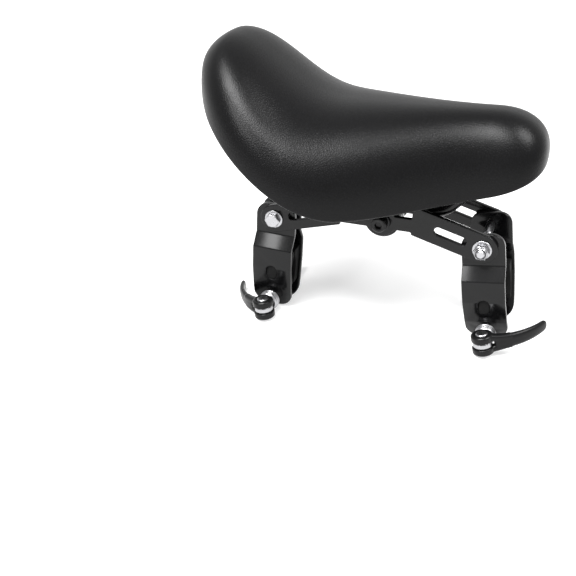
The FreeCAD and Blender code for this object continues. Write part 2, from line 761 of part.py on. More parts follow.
def bent_wire(corners, radius):
    """A wire through the corners with each inner corner rounded by a tangent arc."""
    edges = []
    start = corners[0]
    for before, here, after in zip(corners, corners[1:], corners[2:]):
        back = (before - here).normalize()
        ahead = (after - here).normalize()
        opening = back.getAngle(ahead)
        tangent = radius / math.tan(opening / 2)
        middle = (back + ahead).normalize()
        belly = here + middle * (radius / math.sin(opening / 2) - radius)
        edges.append(Part.LineSegment(start, here + back * tangent).toShape())
        edges.append(Part.Arc(here + back * tangent, belly, here + ahead * tangent).toShape())
        start = here + ahead * tangent
    edges.append(Part.LineSegment(start, corners[-1]).toShape())
    return Part.Wire(edges)


def rail_solid(radius):
    """A round bar along the rail's route, in the middle plane."""
    route = rail_route()
    first = route[0]
    direction = (route[1] - first).normalize()
    section = Part.Wire(Part.Circle(first, direction, radius).toShape())
    return bent_wire(route, size.rail_bend.number).makePipeShell([section], True, True)


def rail(label, side):
    piece = doc.addObject("Part::Feature", "Bent_" + label)
    piece.Shape = rail_solid(size.rail_radius.number)
    place(piece, ZERO, rail_y * side, ZERO)
    finished(piece, label)


# Saddle: sections across the length, u = 0 at the tail and 1 at the nose


def smooth(share):
    share = min(max(share, 0.0), 1.0)
    return share * share * (3 - 2 * share)


def rounding(distance, power):
    """Falls from 1 to 0 along a superellipse as distance goes from 0 to 1."""
    distance = min(max(distance, 0.0), 1.0)
    return (1 - distance ** power) ** (1 / power)


# Where the form is broadest, tapers, has its crest and its dip, and where the nose rounds off
BROADEST = 0.354
TAPER_START, TAPER_END = 0.321, 0.87
CREST = 0.063
DIP_END = 0.472
NOSE_ROUND = 0.837
# Powers of the end curves in plan and from the side, and of the rim's rise to each end
TAIL_PLAN_POWER, NOSE_PLAN_POWER = 2.3, 2.7
TAIL_SIDE_POWER, NOSE_SIDE_POWER = 1.4, 2.07
TAIL_RISE, NOSE_RISE = 1.62, 1.75
# Powers of the top's lift to the tail's crest and to the nose
CREST_LIFT_POWER, NOSE_LIFT_POWER = 1.73, 2.0
# Levels at which top and rim meet at the ends, as shares of the height
TAIL_LEVEL, NOSE_LEVEL = 0.4, 0.277


def saddle_shape(u):
    """Half width, rim height and crown height at a share of the length."""
    half_tail = size.tail_width.number / 2
    half_nose = size.nose_width.number / 2
    taper = smooth((u - TAPER_START) / (TAPER_END - TAPER_START))
    half = half_tail + (half_nose - half_tail) * taper
    past_nose = (u - NOSE_ROUND) / (1 - NOSE_ROUND)
    half *= rounding((BROADEST - u) / BROADEST, TAIL_PLAN_POWER) * rounding(past_nose, NOSE_PLAN_POWER)
    to_nose = max((u - DIP_END) / (1 - DIP_END), 0.0)
    to_tail = max((DIP_END - u) / DIP_END, 0.0)
    crown = size.seat_height.number + size.nose_lift.number * to_nose ** NOSE_LIFT_POWER
    crown += size.tail_lift.number * smooth((DIP_END - u) / (DIP_END - CREST)) ** CREST_LIFT_POWER
    rim = size.rim_height.number
    rim += size.rim_nose_lift.number * to_nose ** NOSE_RISE
    rim += size.rim_tail_lift.number * to_tail ** TAIL_RISE
    ends = rounding((CREST - u) / CREST, TAIL_SIDE_POWER) * rounding(past_nose, NOSE_SIDE_POWER)
    level = TAIL_LEVEL if u < DIP_END else NOSE_LEVEL
    middle = rim + level * (crown - rim)
    return half, middle - (middle - rim) * ends, middle + (crown - middle) * ends


STATIONS = (
    0.003, 0.015, 0.035, 0.065, 0.13, 0.22, 0.32, 0.43,
    0.54, 0.65, 0.76, 0.85, 0.92, 0.965, 0.99, 0.998,
)
SECTION_POINTS = 11
# Smallest section, in millimetres, that an inset leaves
THINNEST = 2
SIDE_FULLNESS, TOP_FULLNESS = 0.79, 0.887


def saddle_section(u, x, side_inset, top_inset, open_below):
    """A domed section at x; open_below carries its flat base under the rim."""
    half, rim, crown = saddle_shape(u)
    half -= side_inset
    crown -= top_inset
    points = []
    for step in range(SECTION_POINTS):
        angle = math.pi * step / (SECTION_POINTS - 1)
        across = math.copysign(abs(math.cos(angle)) ** SIDE_FULLNESS, math.cos(angle))
        points.append(Vector(x, half * across, rim + (crown - rim) * math.sin(angle) ** TOP_FULLNESS))
    dome = Part.BSplineCurve()
    dome.interpolate(points)
    base = [points[-1]]
    if open_below > 0:
        base += [points[-1] - Vector(0, 0, open_below), points[0] - Vector(0, 0, open_below)]
    base.append(points[0])
    edges = [dome.toShape()]
    edges += [Part.LineSegment(here, there).toShape() for here, there in zip(base, base[1:])]
    return Part.Wire(edges)


def saddle_loft(side_inset=0.0, top_inset=0.0, end_inset=0.0, open_below=0.0):
    """The saddle's form, drawn in by the insets."""
    length = size.saddle_length.number
    tail = size.tail_x.number
    sections = []
    for u in STATIONS:
        x = tail + end_inset + (length - 2 * end_inset) * u
        half, rim, crown = saddle_shape(u)
        if half > side_inset + THINNEST and crown - rim > top_inset + THINNEST:
            sections.append(saddle_section(u, x, side_inset, top_inset, open_below))
    return Part.makeLoft(sections, True, False)


def saddle():
    """The padded cover, hollow below, and the base pan with its rail sockets inside it."""
    side = size.foam_side.number
    top = size.foam_top.number
    play = size.pan_play.number
    wall = size.pan_wall.number
    clear = 2 * size.rim_height.number
    cavity = saddle_loft(side, top, side, clear)
    cover = saddle_loft().cut(cavity)
    shell = saddle_loft(side + play, top + play, side + play, 0.0)
    shell = shell.cut(saddle_loft(side + play + wall, top + play + wall, side + play + wall, clear))
    route = rail_route()
    sockets = []
    for end, inner in ((route[0], route[1]), (route[3], route[2])):
        out = (end - inner).normalize()
        foot = end - out * size.socket_depth.number
        length = size.socket_depth.number + size.socket_floor.number
        for y in (rail_y.number, -rail_y.number):
            sockets.append(Part.makeCylinder(size.socket_radius.number, length, foot + Vector(0, y, 0), out))
    # The sockets end in the middle of the shell's wall
    depth = play + wall / 2
    inside = saddle_loft(side + depth, top + depth, side + depth, clear)
    pan = shell.fuse([socket.common(inside) for socket in sockets])
    bars = [rail_solid(size.rail_radius.number + size.run_play.number) for _ in range(2)]
    for bar, y in zip(bars, (rail_y.number, -rail_y.number)):
        bar.translate(Vector(0, y, 0))
    pan = pan.cut(bars)
    for label, shape in (("saddle_cover", cover), ("saddle_base_pan", pan)):
        piece = doc.addObject("Part::Feature", "Moulded_" + label)
        piece.Shape = shape
        finished(piece, label)


# The pieces

beam("side_plate_right", beam_outer)
beam("side_plate_left", -beam_inner)


def clamp_values(name, bolt_x, knee, tuck, swing, roll, close):
    """Values that one clamp's pieces share; the rod's levels follow the cheek's slope at the rod."""
    slope = (tuck - knee) / (size.cheek_length - knee_drop)
    at_rod = cheek_inner + size.bulge - knee - slope * (rod_drop - knee_drop) + size.cheek_plate
    pivot = at_rod + size.rod_bare + size.cup_height + size.side_play + size.head_radius
    to_nub = (knee_drop - size.bolt_rise) / (knee_drop - size.belly_drop)
    nub_reach = knee * to_nub + size.cheek_plate - size.nub_recess
    return SimpleNamespace(
        name=name, bolt_x=bolt_x, knee=knee, tuck=tuck, swing=swing, roll=roll, close=close, slope=slope,
        pivot_y=-pivot, far_face=at_rod + size.side_play, nub_reach=nub_reach,
    )


front = clamp_values("front", half_pitch, size.front_knee, size.front_tuck, size.front_swing,
                     size.front_roll, size.front_close)
rear = clamp_values("rear", -half_pitch, size.rear_knee, size.rear_tuck, size.rear_swing,
                    size.rear_roll, size.rear_close)

for clamp, shift, head_side in ((front, ZERO, 1), (rear, -size.rear_closing, -1)):
    name = clamp.name
    cheek(name + "_cheek_right", clamp, -1)
    cheek(name + "_cheek_left", clamp, 1, shift)
    tube_pad(name + "_pad_right", clamp, -1)
    tube_pad(name + "_pad_left", clamp, 1, shift)
    hexagon_bolt(name + "_clamp", clamp.bolt_x, size.bolt_rise, head_side)
    lock_nut(name + "_clamp", clamp.bolt_x, size.bolt_rise, -head_side)
    washer_pair(name + "_clamp", clamp.bolt_x, size.bolt_rise)
    rod(name + "_rod", clamp, clamp.far_face + size.end_nut_length + size.rod_tip)
    cup_washer(name + "_cup_washer", clamp)
    lever_pivot(name + "_lever_pivot", clamp)
    lever(name + "_lever", clamp)
    end_nut(name + "_rod_nut", clamp, shift)

cap_screw("saddle", size.saddle_bolt_x, saddle_bolt_z)
lock_nut("saddle", size.saddle_bolt_x, saddle_bolt_z, 1)
washer_pair("saddle", size.saddle_bolt_x, saddle_bolt_z)
jaw_face = rail_y + size.jaw_gap / 2
inner_start = rail_y - size.jaw_gap / 2 - size.inner_jaw
rail_jaw("outer_jaw_right", -jaw_face - outer_jaw, outer_jaw)
rail_jaw("outer_jaw_left", jaw_face, outer_jaw)
rail_jaw("inner_jaw_right", -inner_start - size.inner_jaw, size.inner_jaw)
rail_jaw("inner_jaw_left", inner_start, size.inner_jaw)
tube = round_bar("spacer_tube", size.spacer_radius, inner_start * 2, size.saddle_bolt_x,
                 -inner_start, saddle_bolt_z)
tube_eye = round_bar("spacer_eye", size.bolt_radius + size.run_play, inner_start * 4, size.saddle_bolt_x,
                     inner_start * -2, saddle_bolt_z)
finished(taken_from("spacer_cut", tube, tube_eye), "jaw_spacer")
rail("rail_right", -1)
rail("rail_left", 1)
saddle()

# Check every object, then write the pieces

doc.recompute()
for thing in doc.Objects:
    if "Invalid" in thing.State or "Error" in thing.State:
        raise RuntimeError(f"{thing.Label} failed: {thing.State}")
for piece in pieces:
    if piece.Shape.isNull() or not piece.Shape.isValid():
        raise RuntimeError(f"{piece.Label} has no valid shape")

os.makedirs("parts", exist_ok=True)
for piece in pieces:
    piece.Shape.exportStep(f"parts/{piece.Label}.step")
    box = piece.Shape.optimalBoundingBox(False)
    print(f"{piece.Label}: {len(piece.Shape.Solids)} solids, {piece.Shape.Volume:.0f} mm3, "
          f"x {box.XMin:.1f} {box.XMax:.1f} y {box.YMin:.1f} {box.YMax:.1f} z {box.ZMin:.1f} {box.ZMax:.1f}")
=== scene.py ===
import json
import math

import bmesh
import bpy
import numpy as np
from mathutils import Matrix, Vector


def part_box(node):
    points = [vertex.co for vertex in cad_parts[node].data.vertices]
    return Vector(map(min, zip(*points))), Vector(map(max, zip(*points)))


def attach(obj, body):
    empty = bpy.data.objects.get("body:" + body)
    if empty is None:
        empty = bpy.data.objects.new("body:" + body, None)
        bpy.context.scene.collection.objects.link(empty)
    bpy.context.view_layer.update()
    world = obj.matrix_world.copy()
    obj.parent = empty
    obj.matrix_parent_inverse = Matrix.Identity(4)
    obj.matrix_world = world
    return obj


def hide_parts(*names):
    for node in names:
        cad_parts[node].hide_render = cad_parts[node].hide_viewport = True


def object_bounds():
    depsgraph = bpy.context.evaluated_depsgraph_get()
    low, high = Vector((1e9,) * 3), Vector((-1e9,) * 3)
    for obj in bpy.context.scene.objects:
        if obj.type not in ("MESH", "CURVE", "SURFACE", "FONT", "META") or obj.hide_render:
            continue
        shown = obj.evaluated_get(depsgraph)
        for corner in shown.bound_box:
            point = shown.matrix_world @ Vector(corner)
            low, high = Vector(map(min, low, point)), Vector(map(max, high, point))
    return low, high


bl_info = {
    "name": "Top-tube child saddle",
    "version": (1, 0, 0),
    "blender": (4, 5, 0),
    "location": "3D View > Sidebar > Child saddle",
    "description": "Dresses the saddle, its bracket, clamps and quick-release levers",
    "category": "Object",
}

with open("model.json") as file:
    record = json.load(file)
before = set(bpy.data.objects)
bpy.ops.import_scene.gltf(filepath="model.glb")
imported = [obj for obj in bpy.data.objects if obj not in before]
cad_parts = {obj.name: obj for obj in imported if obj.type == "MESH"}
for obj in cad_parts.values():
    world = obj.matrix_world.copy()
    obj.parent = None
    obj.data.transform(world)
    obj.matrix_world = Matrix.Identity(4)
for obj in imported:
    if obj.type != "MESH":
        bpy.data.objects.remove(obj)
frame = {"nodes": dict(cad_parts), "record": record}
CAD_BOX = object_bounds()
MM = 0.001


# Settings


def length(name, description, default):
    """A length in metres that a user can change."""
    return bpy.props.FloatProperty(
        name=name, description=description, default=default, unit="LENGTH", precision=5)


def share(name, description, default, low=0.0, high=1.0):
    """A plain number between two limits."""
    return bpy.props.FloatProperty(name=name, description=description, default=default, min=low, max=high)


def angle(name, description, degrees):
    """An angle, given in degrees and kept in radians."""
    return bpy.props.FloatProperty(
        name=name, description=description, default=math.radians(degrees), subtype="ANGLE")


def tint(name, description, default):
    """A linear colour."""
    return bpy.props.FloatVectorProperty(
        name=name, description=description, default=default, size=3, subtype="COLOR", min=0.0, max=1.0)


class CoverSettings(bpy.types.PropertyGroup):
    """The padded cover's form and finish."""

    tail: length("Tail", "End of the tail along X", -131.3 * MM)
    reach: length("Length", "Tail to nose", 240.8 * MM)
    tail_width: length("Tail width", "Greatest width", 156.4 * MM)
    nose_width: length("Nose width", "Width of the nose", 65.6 * MM)
    seat: length("Seat height", "Seat above the tube's axis", 134.5 * MM)
    tail_lift: length("Tail lift", "Tail's crest above the seat", 38.6 * MM)
    nose_lift: length("Nose lift", "Nose above the seat", 4.2 * MM)
    rim: length("Rim height", "Lowest point of the rim", 69.2 * MM)
    rim_tail: length("Rim at the tail", "Rise of the rim to the tail", 71 * MM)
    rim_nose: length("Rim at the nose", "Rise of the rim to the nose", 27 * MM)
    bead: length("Rim bead", "Radius of the rounded lower edge", 1.6 * MM)
    foam_side: length("Side padding", "Padding at the sides", 8 * MM)
    foam_top: length("Top padding", "Padding on top", 16 * MM)
    colour: tint("Leatherette", "Colour of the cover", (0.0018, 0.0018, 0.0020))
    gloss: share("Roughness", "Roughness of the cover", 0.32)
    sheen: share("Specular", "Strength of the cover's reflections", 0.12)
    grain: length("Grain", "Size of the leather grain", 1.5 * MM)


class BracketSettings(bpy.types.PropertyGroup):
    """The painted plates, jaws and rails, the rubber pads and the base pan."""

    paint: tint("Paint", "Colour of the painted steel", (0.0026, 0.0026, 0.0028))
    gloss: share("Roughness", "Roughness of the paint", 0.19)
    sheen: share("Specular", "Strength of the paint's reflections", 0.2)
    edge: length("Edge", "Rounding of the plates' edges", 0.55 * MM)
    rubber: tint("Rubber", "Colour of the pads", (0.0035, 0.0035, 0.0035))
    plastic: tint("Plastic", "Colour of the base pan", (0.012, 0.012, 0.013))


class HardwareSettings(bpy.types.PropertyGroup):
    """Bolts, nuts, rods and washers."""

    zinc: tint("Zinc", "Colour of the plated steel", (0.32, 0.32, 0.33))
    gloss: share("Roughness", "Roughness of the plated steel", 0.27)
    flats: length("Across flats", "Width of the hexagons", 10 * MM)
    head: length("Head", "Height of a bolt's head", 4 * MM)
    shank: length("Shank", "Radius of the bolts", 3 * MM)
    nut: length("Nut", "Height of a nut's hexagon", 5 * MM)
    crown: length("Crown", "Radius of a nut's locking crown", 4.4 * MM)
    pitch: length("Pitch", "Pitch of the threads", 1 * MM)
    thread: length("Thread", "Depth of the threads", 0.45 * MM)
    cap: length("Cap", "Radius of the saddle bolt's head", 5.5 * MM)
    cap_height: length("Cap height", "Height of the saddle bolt's head", 6 * MM)
    key: length("Key", "Across the flats of the saddle bolt's socket", 5 * MM)
    key_depth: length("Key depth", "Depth of the saddle bolt's socket", 3.2 * MM)


class LeverSettings(bpy.types.PropertyGroup):
    """The quick-release levers with their rods, pins, cups and thumb nuts."""

    rod: length("Rod", "Radius of the rod", 2.5 * MM)
    pitch: length("Pitch", "Pitch of the rod's thread", 0.8 * MM)
    pin: length("Pin", "Radius of the cross pin", 4.2 * MM)
    eye: length("Eye", "Radius of the eye between the ears", 6.8 * MM)
    head: length("Head", "Radius of the forked head", 7.8 * MM)
    width: length("Head width", "Width over the ears", 15 * MM)
    gap: length("Ear gap", "Slot between the ears", 4.6 * MM)
    reach: length("Length", "Pivot to tip, along the curve", 52 * MM)
    bend: angle("Bend", "How far the arm curves", 65)
    root: length("Root", "Thickness at the root", 6.4 * MM)
    tip: length("Tip", "Thickness at the tip", 3.4 * MM)
    waist: length("Waist", "Width at the root", 11 * MM)
    end: length("End", "Width at the tip", 7.5 * MM)
    front_close: angle("Front close", "Front lever's angle towards the cheek", 2)
    rear_close: angle("Rear close", "Rear lever's angle towards the cheek", 18)
    paint: tint("Lever paint", "Colour of the levers", (0.0032, 0.0032, 0.0034))
    gloss: share("Roughness", "Roughness of the levers", 0.28)
    sheen: share("Specular", "Strength of the levers' reflections", 0.15)


class StageSettings(bpy.types.PropertyGroup):
    """Floor, lamps and camera."""

    camera_place: bpy.props.FloatVectorProperty(
        name="Camera", description="Where the camera stands", default=(0.1323, -0.5825, 0.3195),
        size=3, subtype="TRANSLATION")
    camera_turn: bpy.props.FloatVectorProperty(
        name="Camera turn", description="Camera's rotation",
        default=(math.radians(60.7), 0.0, math.radians(19.5)), size=3, subtype="EULER")
    lens: bpy.props.FloatProperty(name="Lens", description="Focal length", default=55.6, unit="CAMERA")
    floor: tint("Floor", "Colour of the floor", (0.50, 0.50, 0.50))
    floor_gap: length("Floor gap", "Floor below the lowest piece", 0.5 * MM)
    glow: share("Floor glow", "Light that the floor adds near the object", 0.60)
    far_glow: share("Far glow", "Light that the floor adds away from the object", 0.90)
    spread: length("Glow spread", "Where the floor reaches its far glow", 900 * MM)
    world: share("World", "Strength of the even light", 0.20, 0.0, 2.0)


# Surfaces


def quad_grid(rows, columns):
    """Corner indices of the quads of a grid whose last column joins its first."""
    r, c = np.meshgrid(np.arange(rows - 1), np.arange(columns), indexing="ij")
    below = (r + 1) * columns
    after = (c + 1) % columns
    return np.stack([r * columns + c, r * columns + after, below + after, below + c], axis=-1).reshape(-1, 4)


def smoothstep(x):
    """3x^2 - 2x^3 on x held between 0 and 1."""
    x = np.clip(x, 0.0, 1.0)
    return x * x * (3.0 - 2.0 * x)


def rounding(x, power):
    """Superellipse fall from 1 to 0: (1 - x^p)^(1/p) on x held between 0 and 1."""
    x = np.clip(x, 0.0, 1.0)
    return (1.0 - x ** power) ** (1.0 / power)


def signed_power(x, power):
    """|x|^p with the sign of x."""
    return np.sign(x) * np.abs(x) ** power


def soft_least(a, b, blend):
    """Smaller of two lengths, rounded where they meet: -k ln(e^(-a/k) + e^(-b/k))."""
    least = np.minimum(a, b)
    return least - blend * np.log(np.exp((least - a) / blend) + np.exp((least - b) / blend))


def hexagon(turn, flats, power=34.0):
    """Radius of a hexagon with slightly rounded corners, in the direction of a turn.

    It is a p-norm over the three pairs of flats: (sum |2 cos(a - k pi/3) / flats|^p)^(-1/p).
    """
    across = np.abs(np.cos(turn[..., None] - np.arange(3) * math.pi / 3)) * 2.0 / flats
    return np.sum(across ** power, axis=-1) ** (-1.0 / power)


def hexagon_corner(flats):
    """Radius of the corners of a hexagon."""
    return flats / 2 / math.cos(math.pi / 6)


def eased(corners, radius, steps=5, most=0.45):
    """A profile whose inner corners B are eased by curves (1 - t)^2 A + 2t(1 - t) B + t^2 C.

    A and C lie on the two sides, a radius away from the corner but no more than a share of the side.
    """
    corners = np.asarray(corners, dtype=float)
    middle = corners[1:-1]
    back = corners[:-2] - middle
    ahead = corners[2:] - middle
    back_length = np.linalg.norm(back, axis=1, keepdims=True)
    ahead_length = np.linalg.norm(ahead, axis=1, keepdims=True)
    start = middle + back * np.minimum(radius / back_length, most)
    end = middle + ahead * np.minimum(radius / ahead_length, most)
    t = np.linspace(0.0, 1.0, steps)[None, :, None]
    curves = (1 - t) ** 2 * start[:, None] + 2 * t * (1 - t) * middle[:, None] + t ** 2 * end[:, None]
    return np.concatenate([corners[:1], curves.reshape(-1, 2), corners[-1:]])


def knurling(turn, count, depth):
    """Depth of rounded grooves round a side: depth (1 + cos(n a)) / 2."""
    return depth * (0.5 + 0.5 * np.cos(count * turn))


def threaded_stretch(start, end, radius, pitch, steps=8):
    """Close-set rows of one radius between two places, enough for a thread to be cut in them."""
    rows = max(int(abs(end - start) / pitch * steps), 2)
    along = np.linspace(start, end, rows)
    return np.stack([np.full(rows, radius), along], axis=1)


def lathe(profile, centre, axis, columns, form=None):
    """A profile of radius and place along an axis, carried round it.

    P(t, a) = centre + axis * along(t) + radius * (e1 cos(a) + e2 sin(a)), where form(radius, along, a)
    may change the radius, for instance to that of a hexagon or a thread.
    """
    axis = np.asarray(axis, dtype=float)
    axis = axis / np.linalg.norm(axis)
    # X, or Z where the axis lies nearly along X
    aside = np.array([1.0, 0.0, 0.0]) if abs(axis[0]) < 0.7 else np.array([0.0, 0.0, 1.0])
    first = np.cross(axis, aside)
    first = first / np.linalg.norm(first)
    second = np.cross(axis, first)
    profile = np.asarray(profile, dtype=float)
    turn = np.linspace(0.0, 2.0 * math.pi, columns, endpoint=False)[None, :]
    radius = np.broadcast_to(profile[:, :1], (len(profile), columns))
    along = np.broadcast_to(profile[:, 1:], (len(profile), columns))
    if form is not None:
        radius = form(radius, along, np.broadcast_to(turn, radius.shape))
    round_about = first * np.cos(turn)[..., None] + second * np.sin(turn)[..., None]
    points = np.asarray(centre, dtype=float) + along[..., None] * axis + radius[..., None] * round_about
    return points.reshape(-1, 3), quad_grid(len(profile), columns)


def together(surfaces):
    """Joins the points and quads of several surfaces."""
    points, quads, count = [], [], 0
    for some_points, some_quads in surfaces:
        points.append(some_points)
        quads.append(some_quads + count)
        count += len(some_points)
    return np.concatenate(points), np.concatenate(quads)


# Meshes

SAME_POINT = 0.0001 * MM
WELD = 0.002 * MM
BEVEL_SEGMENTS = 3
# Angles in degrees: faces in one plane, edges to bevel, edges to keep hard on plates and on turned pieces
PLANE_LIMIT, BEVEL_LIMIT, PLATE_LIMIT, TURNED_LIMIT = 0.5, 40, 32, 35


def surface_mesh(name, points, quads, sharp=None):
    """A mesh with its seams and poles welded and its faces turned outward."""
    mesh = bpy.data.meshes.new(name)
    mesh.from_pydata(points.tolist(), [], quads.tolist())
    shape = bmesh.new()
    shape.from_mesh(mesh)
    bmesh.ops.remove_doubles(shape, verts=shape.verts, dist=SAME_POINT)
    bmesh.ops.dissolve_degenerate(shape, edges=shape.edges, dist=SAME_POINT)
    bmesh.ops.recalc_face_normals(shape, faces=shape.faces)
    shape.to_mesh(mesh)
    shape.free()
    mesh.polygons.foreach_set("use_smooth", np.ones(len(mesh.polygons), dtype=bool))
    if sharp is not None:
        mesh.set_sharp_from_angle(angle=math.radians(sharp))
    return mesh


def seat_piece(name, mesh, body, nodes, material):
    """Puts a mesh in an object that rides on a body and stands for CAD nodes."""
    piece = bpy.data.objects.new(name, mesh)
    bpy.context.scene.collection.objects.link(piece)
    mesh.materials.append(material)
    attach(piece, body)
    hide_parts(*nodes)
    return piece


def finish_piece(name, surface, body, nodes, material, sharp=None):
    """Makes a piece from one surface."""
    return seat_piece(name, surface_mesh(name, *surface, sharp=sharp), body, nodes, material)


def fused_mesh(name, surfaces, voxel, passes):
    """One skin round several closed surfaces: a voxel remesh of them together, smoothed a little."""
    rough = bpy.data.objects.new(name + "_rough", surface_mesh(name + "_rough", *together(surfaces)))
    bpy.context.scene.collection.objects.link(rough)
    remesh = rough.modifiers.new("skin", "REMESH")
    remesh.mode = "VOXEL"
    remesh.voxel_size = voxel
    remesh.use_smooth_shade = True
    relax = rough.modifiers.new("relax", "SMOOTH")
    relax.factor = 0.5
    relax.iterations = passes
    mesh = bpy.data.meshes.new_from_object(rough.evaluated_get(bpy.context.evaluated_depsgraph_get()))
    mesh.name = name
    old = rough.data
    bpy.data.objects.remove(rough)
    bpy.data.meshes.remove(old)
    mesh.materials.clear()
    return mesh


def shading_group():
    """Geometry nodes that shade faces smooth and keep edges sharper than a limit hard."""
    group = bpy.data.node_groups.get("smooth_by_angle")
    if group is not None:
        return group
    group = bpy.data.node_groups.new("smooth_by_angle", "GeometryNodeTree")
    group.interface.new_socket("Mesh", in_out="INPUT", socket_type="NodeSocketGeometry")
    group.interface.new_socket("Mesh", in_out="OUTPUT", socket_type="NodeSocketGeometry")
    nodes, link = group.nodes, group.links.new
    source = nodes.new("NodeGroupInput")
    target = nodes.new("NodeGroupOutput")
    faces = nodes.new("GeometryNodeSetShadeSmooth")
    faces.domain = "FACE"
    edges = nodes.new("GeometryNodeSetShadeSmooth")
    edges.domain = "EDGE"
    edges.inputs["Shade Smooth"].default_value = False
    bend = nodes.new("GeometryNodeInputMeshEdgeAngle")
    limit = nodes.new("FunctionNodeCompare")
    limit.data_type = "FLOAT"
    limit.operation = "GREATER_THAN"
    limit.inputs["B"].default_value = math.radians(PLATE_LIMIT)
    link(source.outputs["Mesh"], faces.inputs["Geometry"])
    link(faces.outputs["Geometry"], edges.inputs["Geometry"])
    link(bend.outputs["Unsigned Angle"], limit.inputs["A"])
    link(limit.outputs["Result"], edges.inputs["Selection"])
    link(edges.outputs["Geometry"], target.inputs["Mesh"])
    return group


def dress(node, material, edge=0.0):
    """Gives a CAD node its material, eases its edges and shades it smooth."""
    piece = frame["nodes"][node]
    piece.data.materials.clear()
    piece.data.materials.append(material)
    weld = piece.modifiers.new("weld", "WELD")
    weld.merge_threshold = WELD
    if edge > 0.0:
        planes = piece.modifiers.new("planes", "DECIMATE")
        planes.decimate_type = "DISSOLVE"
        planes.angle_limit = math.radians(PLANE_LIMIT)
        bevel = piece.modifiers.new("edges", "BEVEL")
        bevel.width = edge
        bevel.segments = BEVEL_SEGMENTS
        bevel.limit_method = "ANGLE"
        bevel.angle_limit = math.radians(BEVEL_LIMIT)
    smooth = piece.modifiers.new("smooth", "NODES")
    smooth.node_group = shading_group()


# Materials


def node_group(name, inputs, outputs):
    """An empty shader node group with named inputs and outputs, and its two end nodes."""
    group = bpy.data.node_groups.new(name, "ShaderNodeTree")
    for title, default in inputs.items():
        socket = group.interface.new_socket(title, in_out="INPUT", socket_type="NodeSocketFloat")
        socket.default_value = default
    for title in outputs:
        group.interface.new_socket(title, in_out="OUTPUT", socket_type="NodeSocketFloat")
    return group, group.nodes.new("NodeGroupInput"), group.nodes.new("NodeGroupOutput")


def feed(tree, socket, value):
    """Sets an input to a number or links it to another node's output."""
    if isinstance(value, (int, float)):
        socket.default_value = value
    else:
        tree.links.new(value, socket)


def math_node(tree, operation, *values):
    """A Math node whose inputs are outputs of other nodes or numbers."""
    node = tree.nodes.new("ShaderNodeMath")
    node.operation = operation
    for socket, value in zip(node.inputs, values):
        feed(tree, socket, value)
    return node.outputs[0]


def spread(tree, value, low, high):
    """Maps a value from 0..1 to low..high: low + (high - low) value."""
    node = tree.nodes.new("ShaderNodeMapRange")
    for title, source in (("Value", value), ("To Min", low), ("To Max", high)):
        feed(tree, node.inputs[title], source)
    return node.outputs["Result"]


def object_noise(tree, scale, detail):
    """Noise on Object coordinates."""
    place = tree.nodes.new("ShaderNodeTexCoord")
    noise = tree.nodes.new("ShaderNodeTexNoise")
    noise.inputs["Detail"].default_value = detail
    tree.links.new(place.outputs["Object"], noise.inputs["Vector"])
    feed(tree, noise.inputs["Scale"], scale)
    return noise.outputs["Fac"]


def handling_group(finer=14.0, broad_share=0.7, fine_share=0.3):
    """Faint handling marks: two sizes of noise that vary a roughness between two values."""
    group, source, target = node_group(
        "handling", {"Scale": 60.0, "Low": 0.2, "High": 0.4}, ["Roughness", "Mask"])
    broad = object_noise(group, source.outputs["Scale"], detail=3.0)
    fine = object_noise(group, math_node(group, "MULTIPLY", source.outputs["Scale"], finer), detail=2.0)
    mask = math_node(
        group, "MULTIPLY_ADD", broad, broad_share, math_node(group, "MULTIPLY", fine, fine_share))
    roughness = spread(group, mask, source.outputs["Low"], source.outputs["High"])
    group.links.new(roughness, target.inputs["Roughness"])
    group.links.new(mask, target.inputs["Mask"])
    return group


def grain_group(warp_scale=0.35, warp_reach=0.7 * MM, swell_scale=0.06, swell=0.6):
    """Pebbled grain: warped, rounded cells with creases between them, and a broad swell of the skin."""
    group, source, target = node_group("pebble_grain", {"Cell": 1000.0, "Crease": 0.5}, ["Height", "Crease"])
    place = group.nodes.new("ShaderNodeTexCoord")
    warp = group.nodes.new("ShaderNodeTexNoise")
    warp.inputs["Detail"].default_value = 2.0
    group.links.new(place.outputs["Object"], warp.inputs["Vector"])
    group.links.new(math_node(group, "MULTIPLY", source.outputs["Cell"], warp_scale), warp.inputs["Scale"])
    shift = group.nodes.new("ShaderNodeVectorMath")
    shift.operation = "MULTIPLY_ADD"
    shift.inputs[1].default_value = (warp_reach,) * 3
    group.links.new(warp.outputs["Color"], shift.inputs[0])
    group.links.new(place.outputs["Object"], shift.inputs[2])
    cells = group.nodes.new("ShaderNodeTexVoronoi")
    cells.feature = "DISTANCE_TO_EDGE"
    group.links.new(shift.outputs[0], cells.inputs["Vector"])
    group.links.new(source.outputs["Cell"], cells.inputs["Scale"])
    dome = group.nodes.new("ShaderNodeMapRange")
    dome.interpolation_type = "SMOOTHSTEP"
    group.links.new(cells.outputs["Distance"], dome.inputs["Value"])
    group.links.new(source.outputs["Crease"], dome.inputs["From Max"])
    broad = object_noise(group, math_node(group, "MULTIPLY", source.outputs["Cell"], swell_scale), detail=2.0)
    height = math_node(group, "MULTIPLY_ADD", broad, swell, dome.outputs["Result"])
    group.links.new(height, target.inputs["Height"])
    group.links.new(dome.outputs["Result"], target.inputs["Crease"])
    return group


def shader(name, colour, roughness, metallic=0.0, specular=0.5):
    """A material with one Principled shader; constants go on its own sockets."""
    material = bpy.data.materials.new(name)
    material.use_nodes = True
    node = material.node_tree.nodes["Principled BSDF"]
    node.inputs["Base Color"].default_value = (*colour, 1.0)
    node.inputs["Roughness"].default_value = roughness
    node.inputs["Metallic"].default_value = metallic
    node.inputs["Specular IOR Level"].default_value = specular
    return material


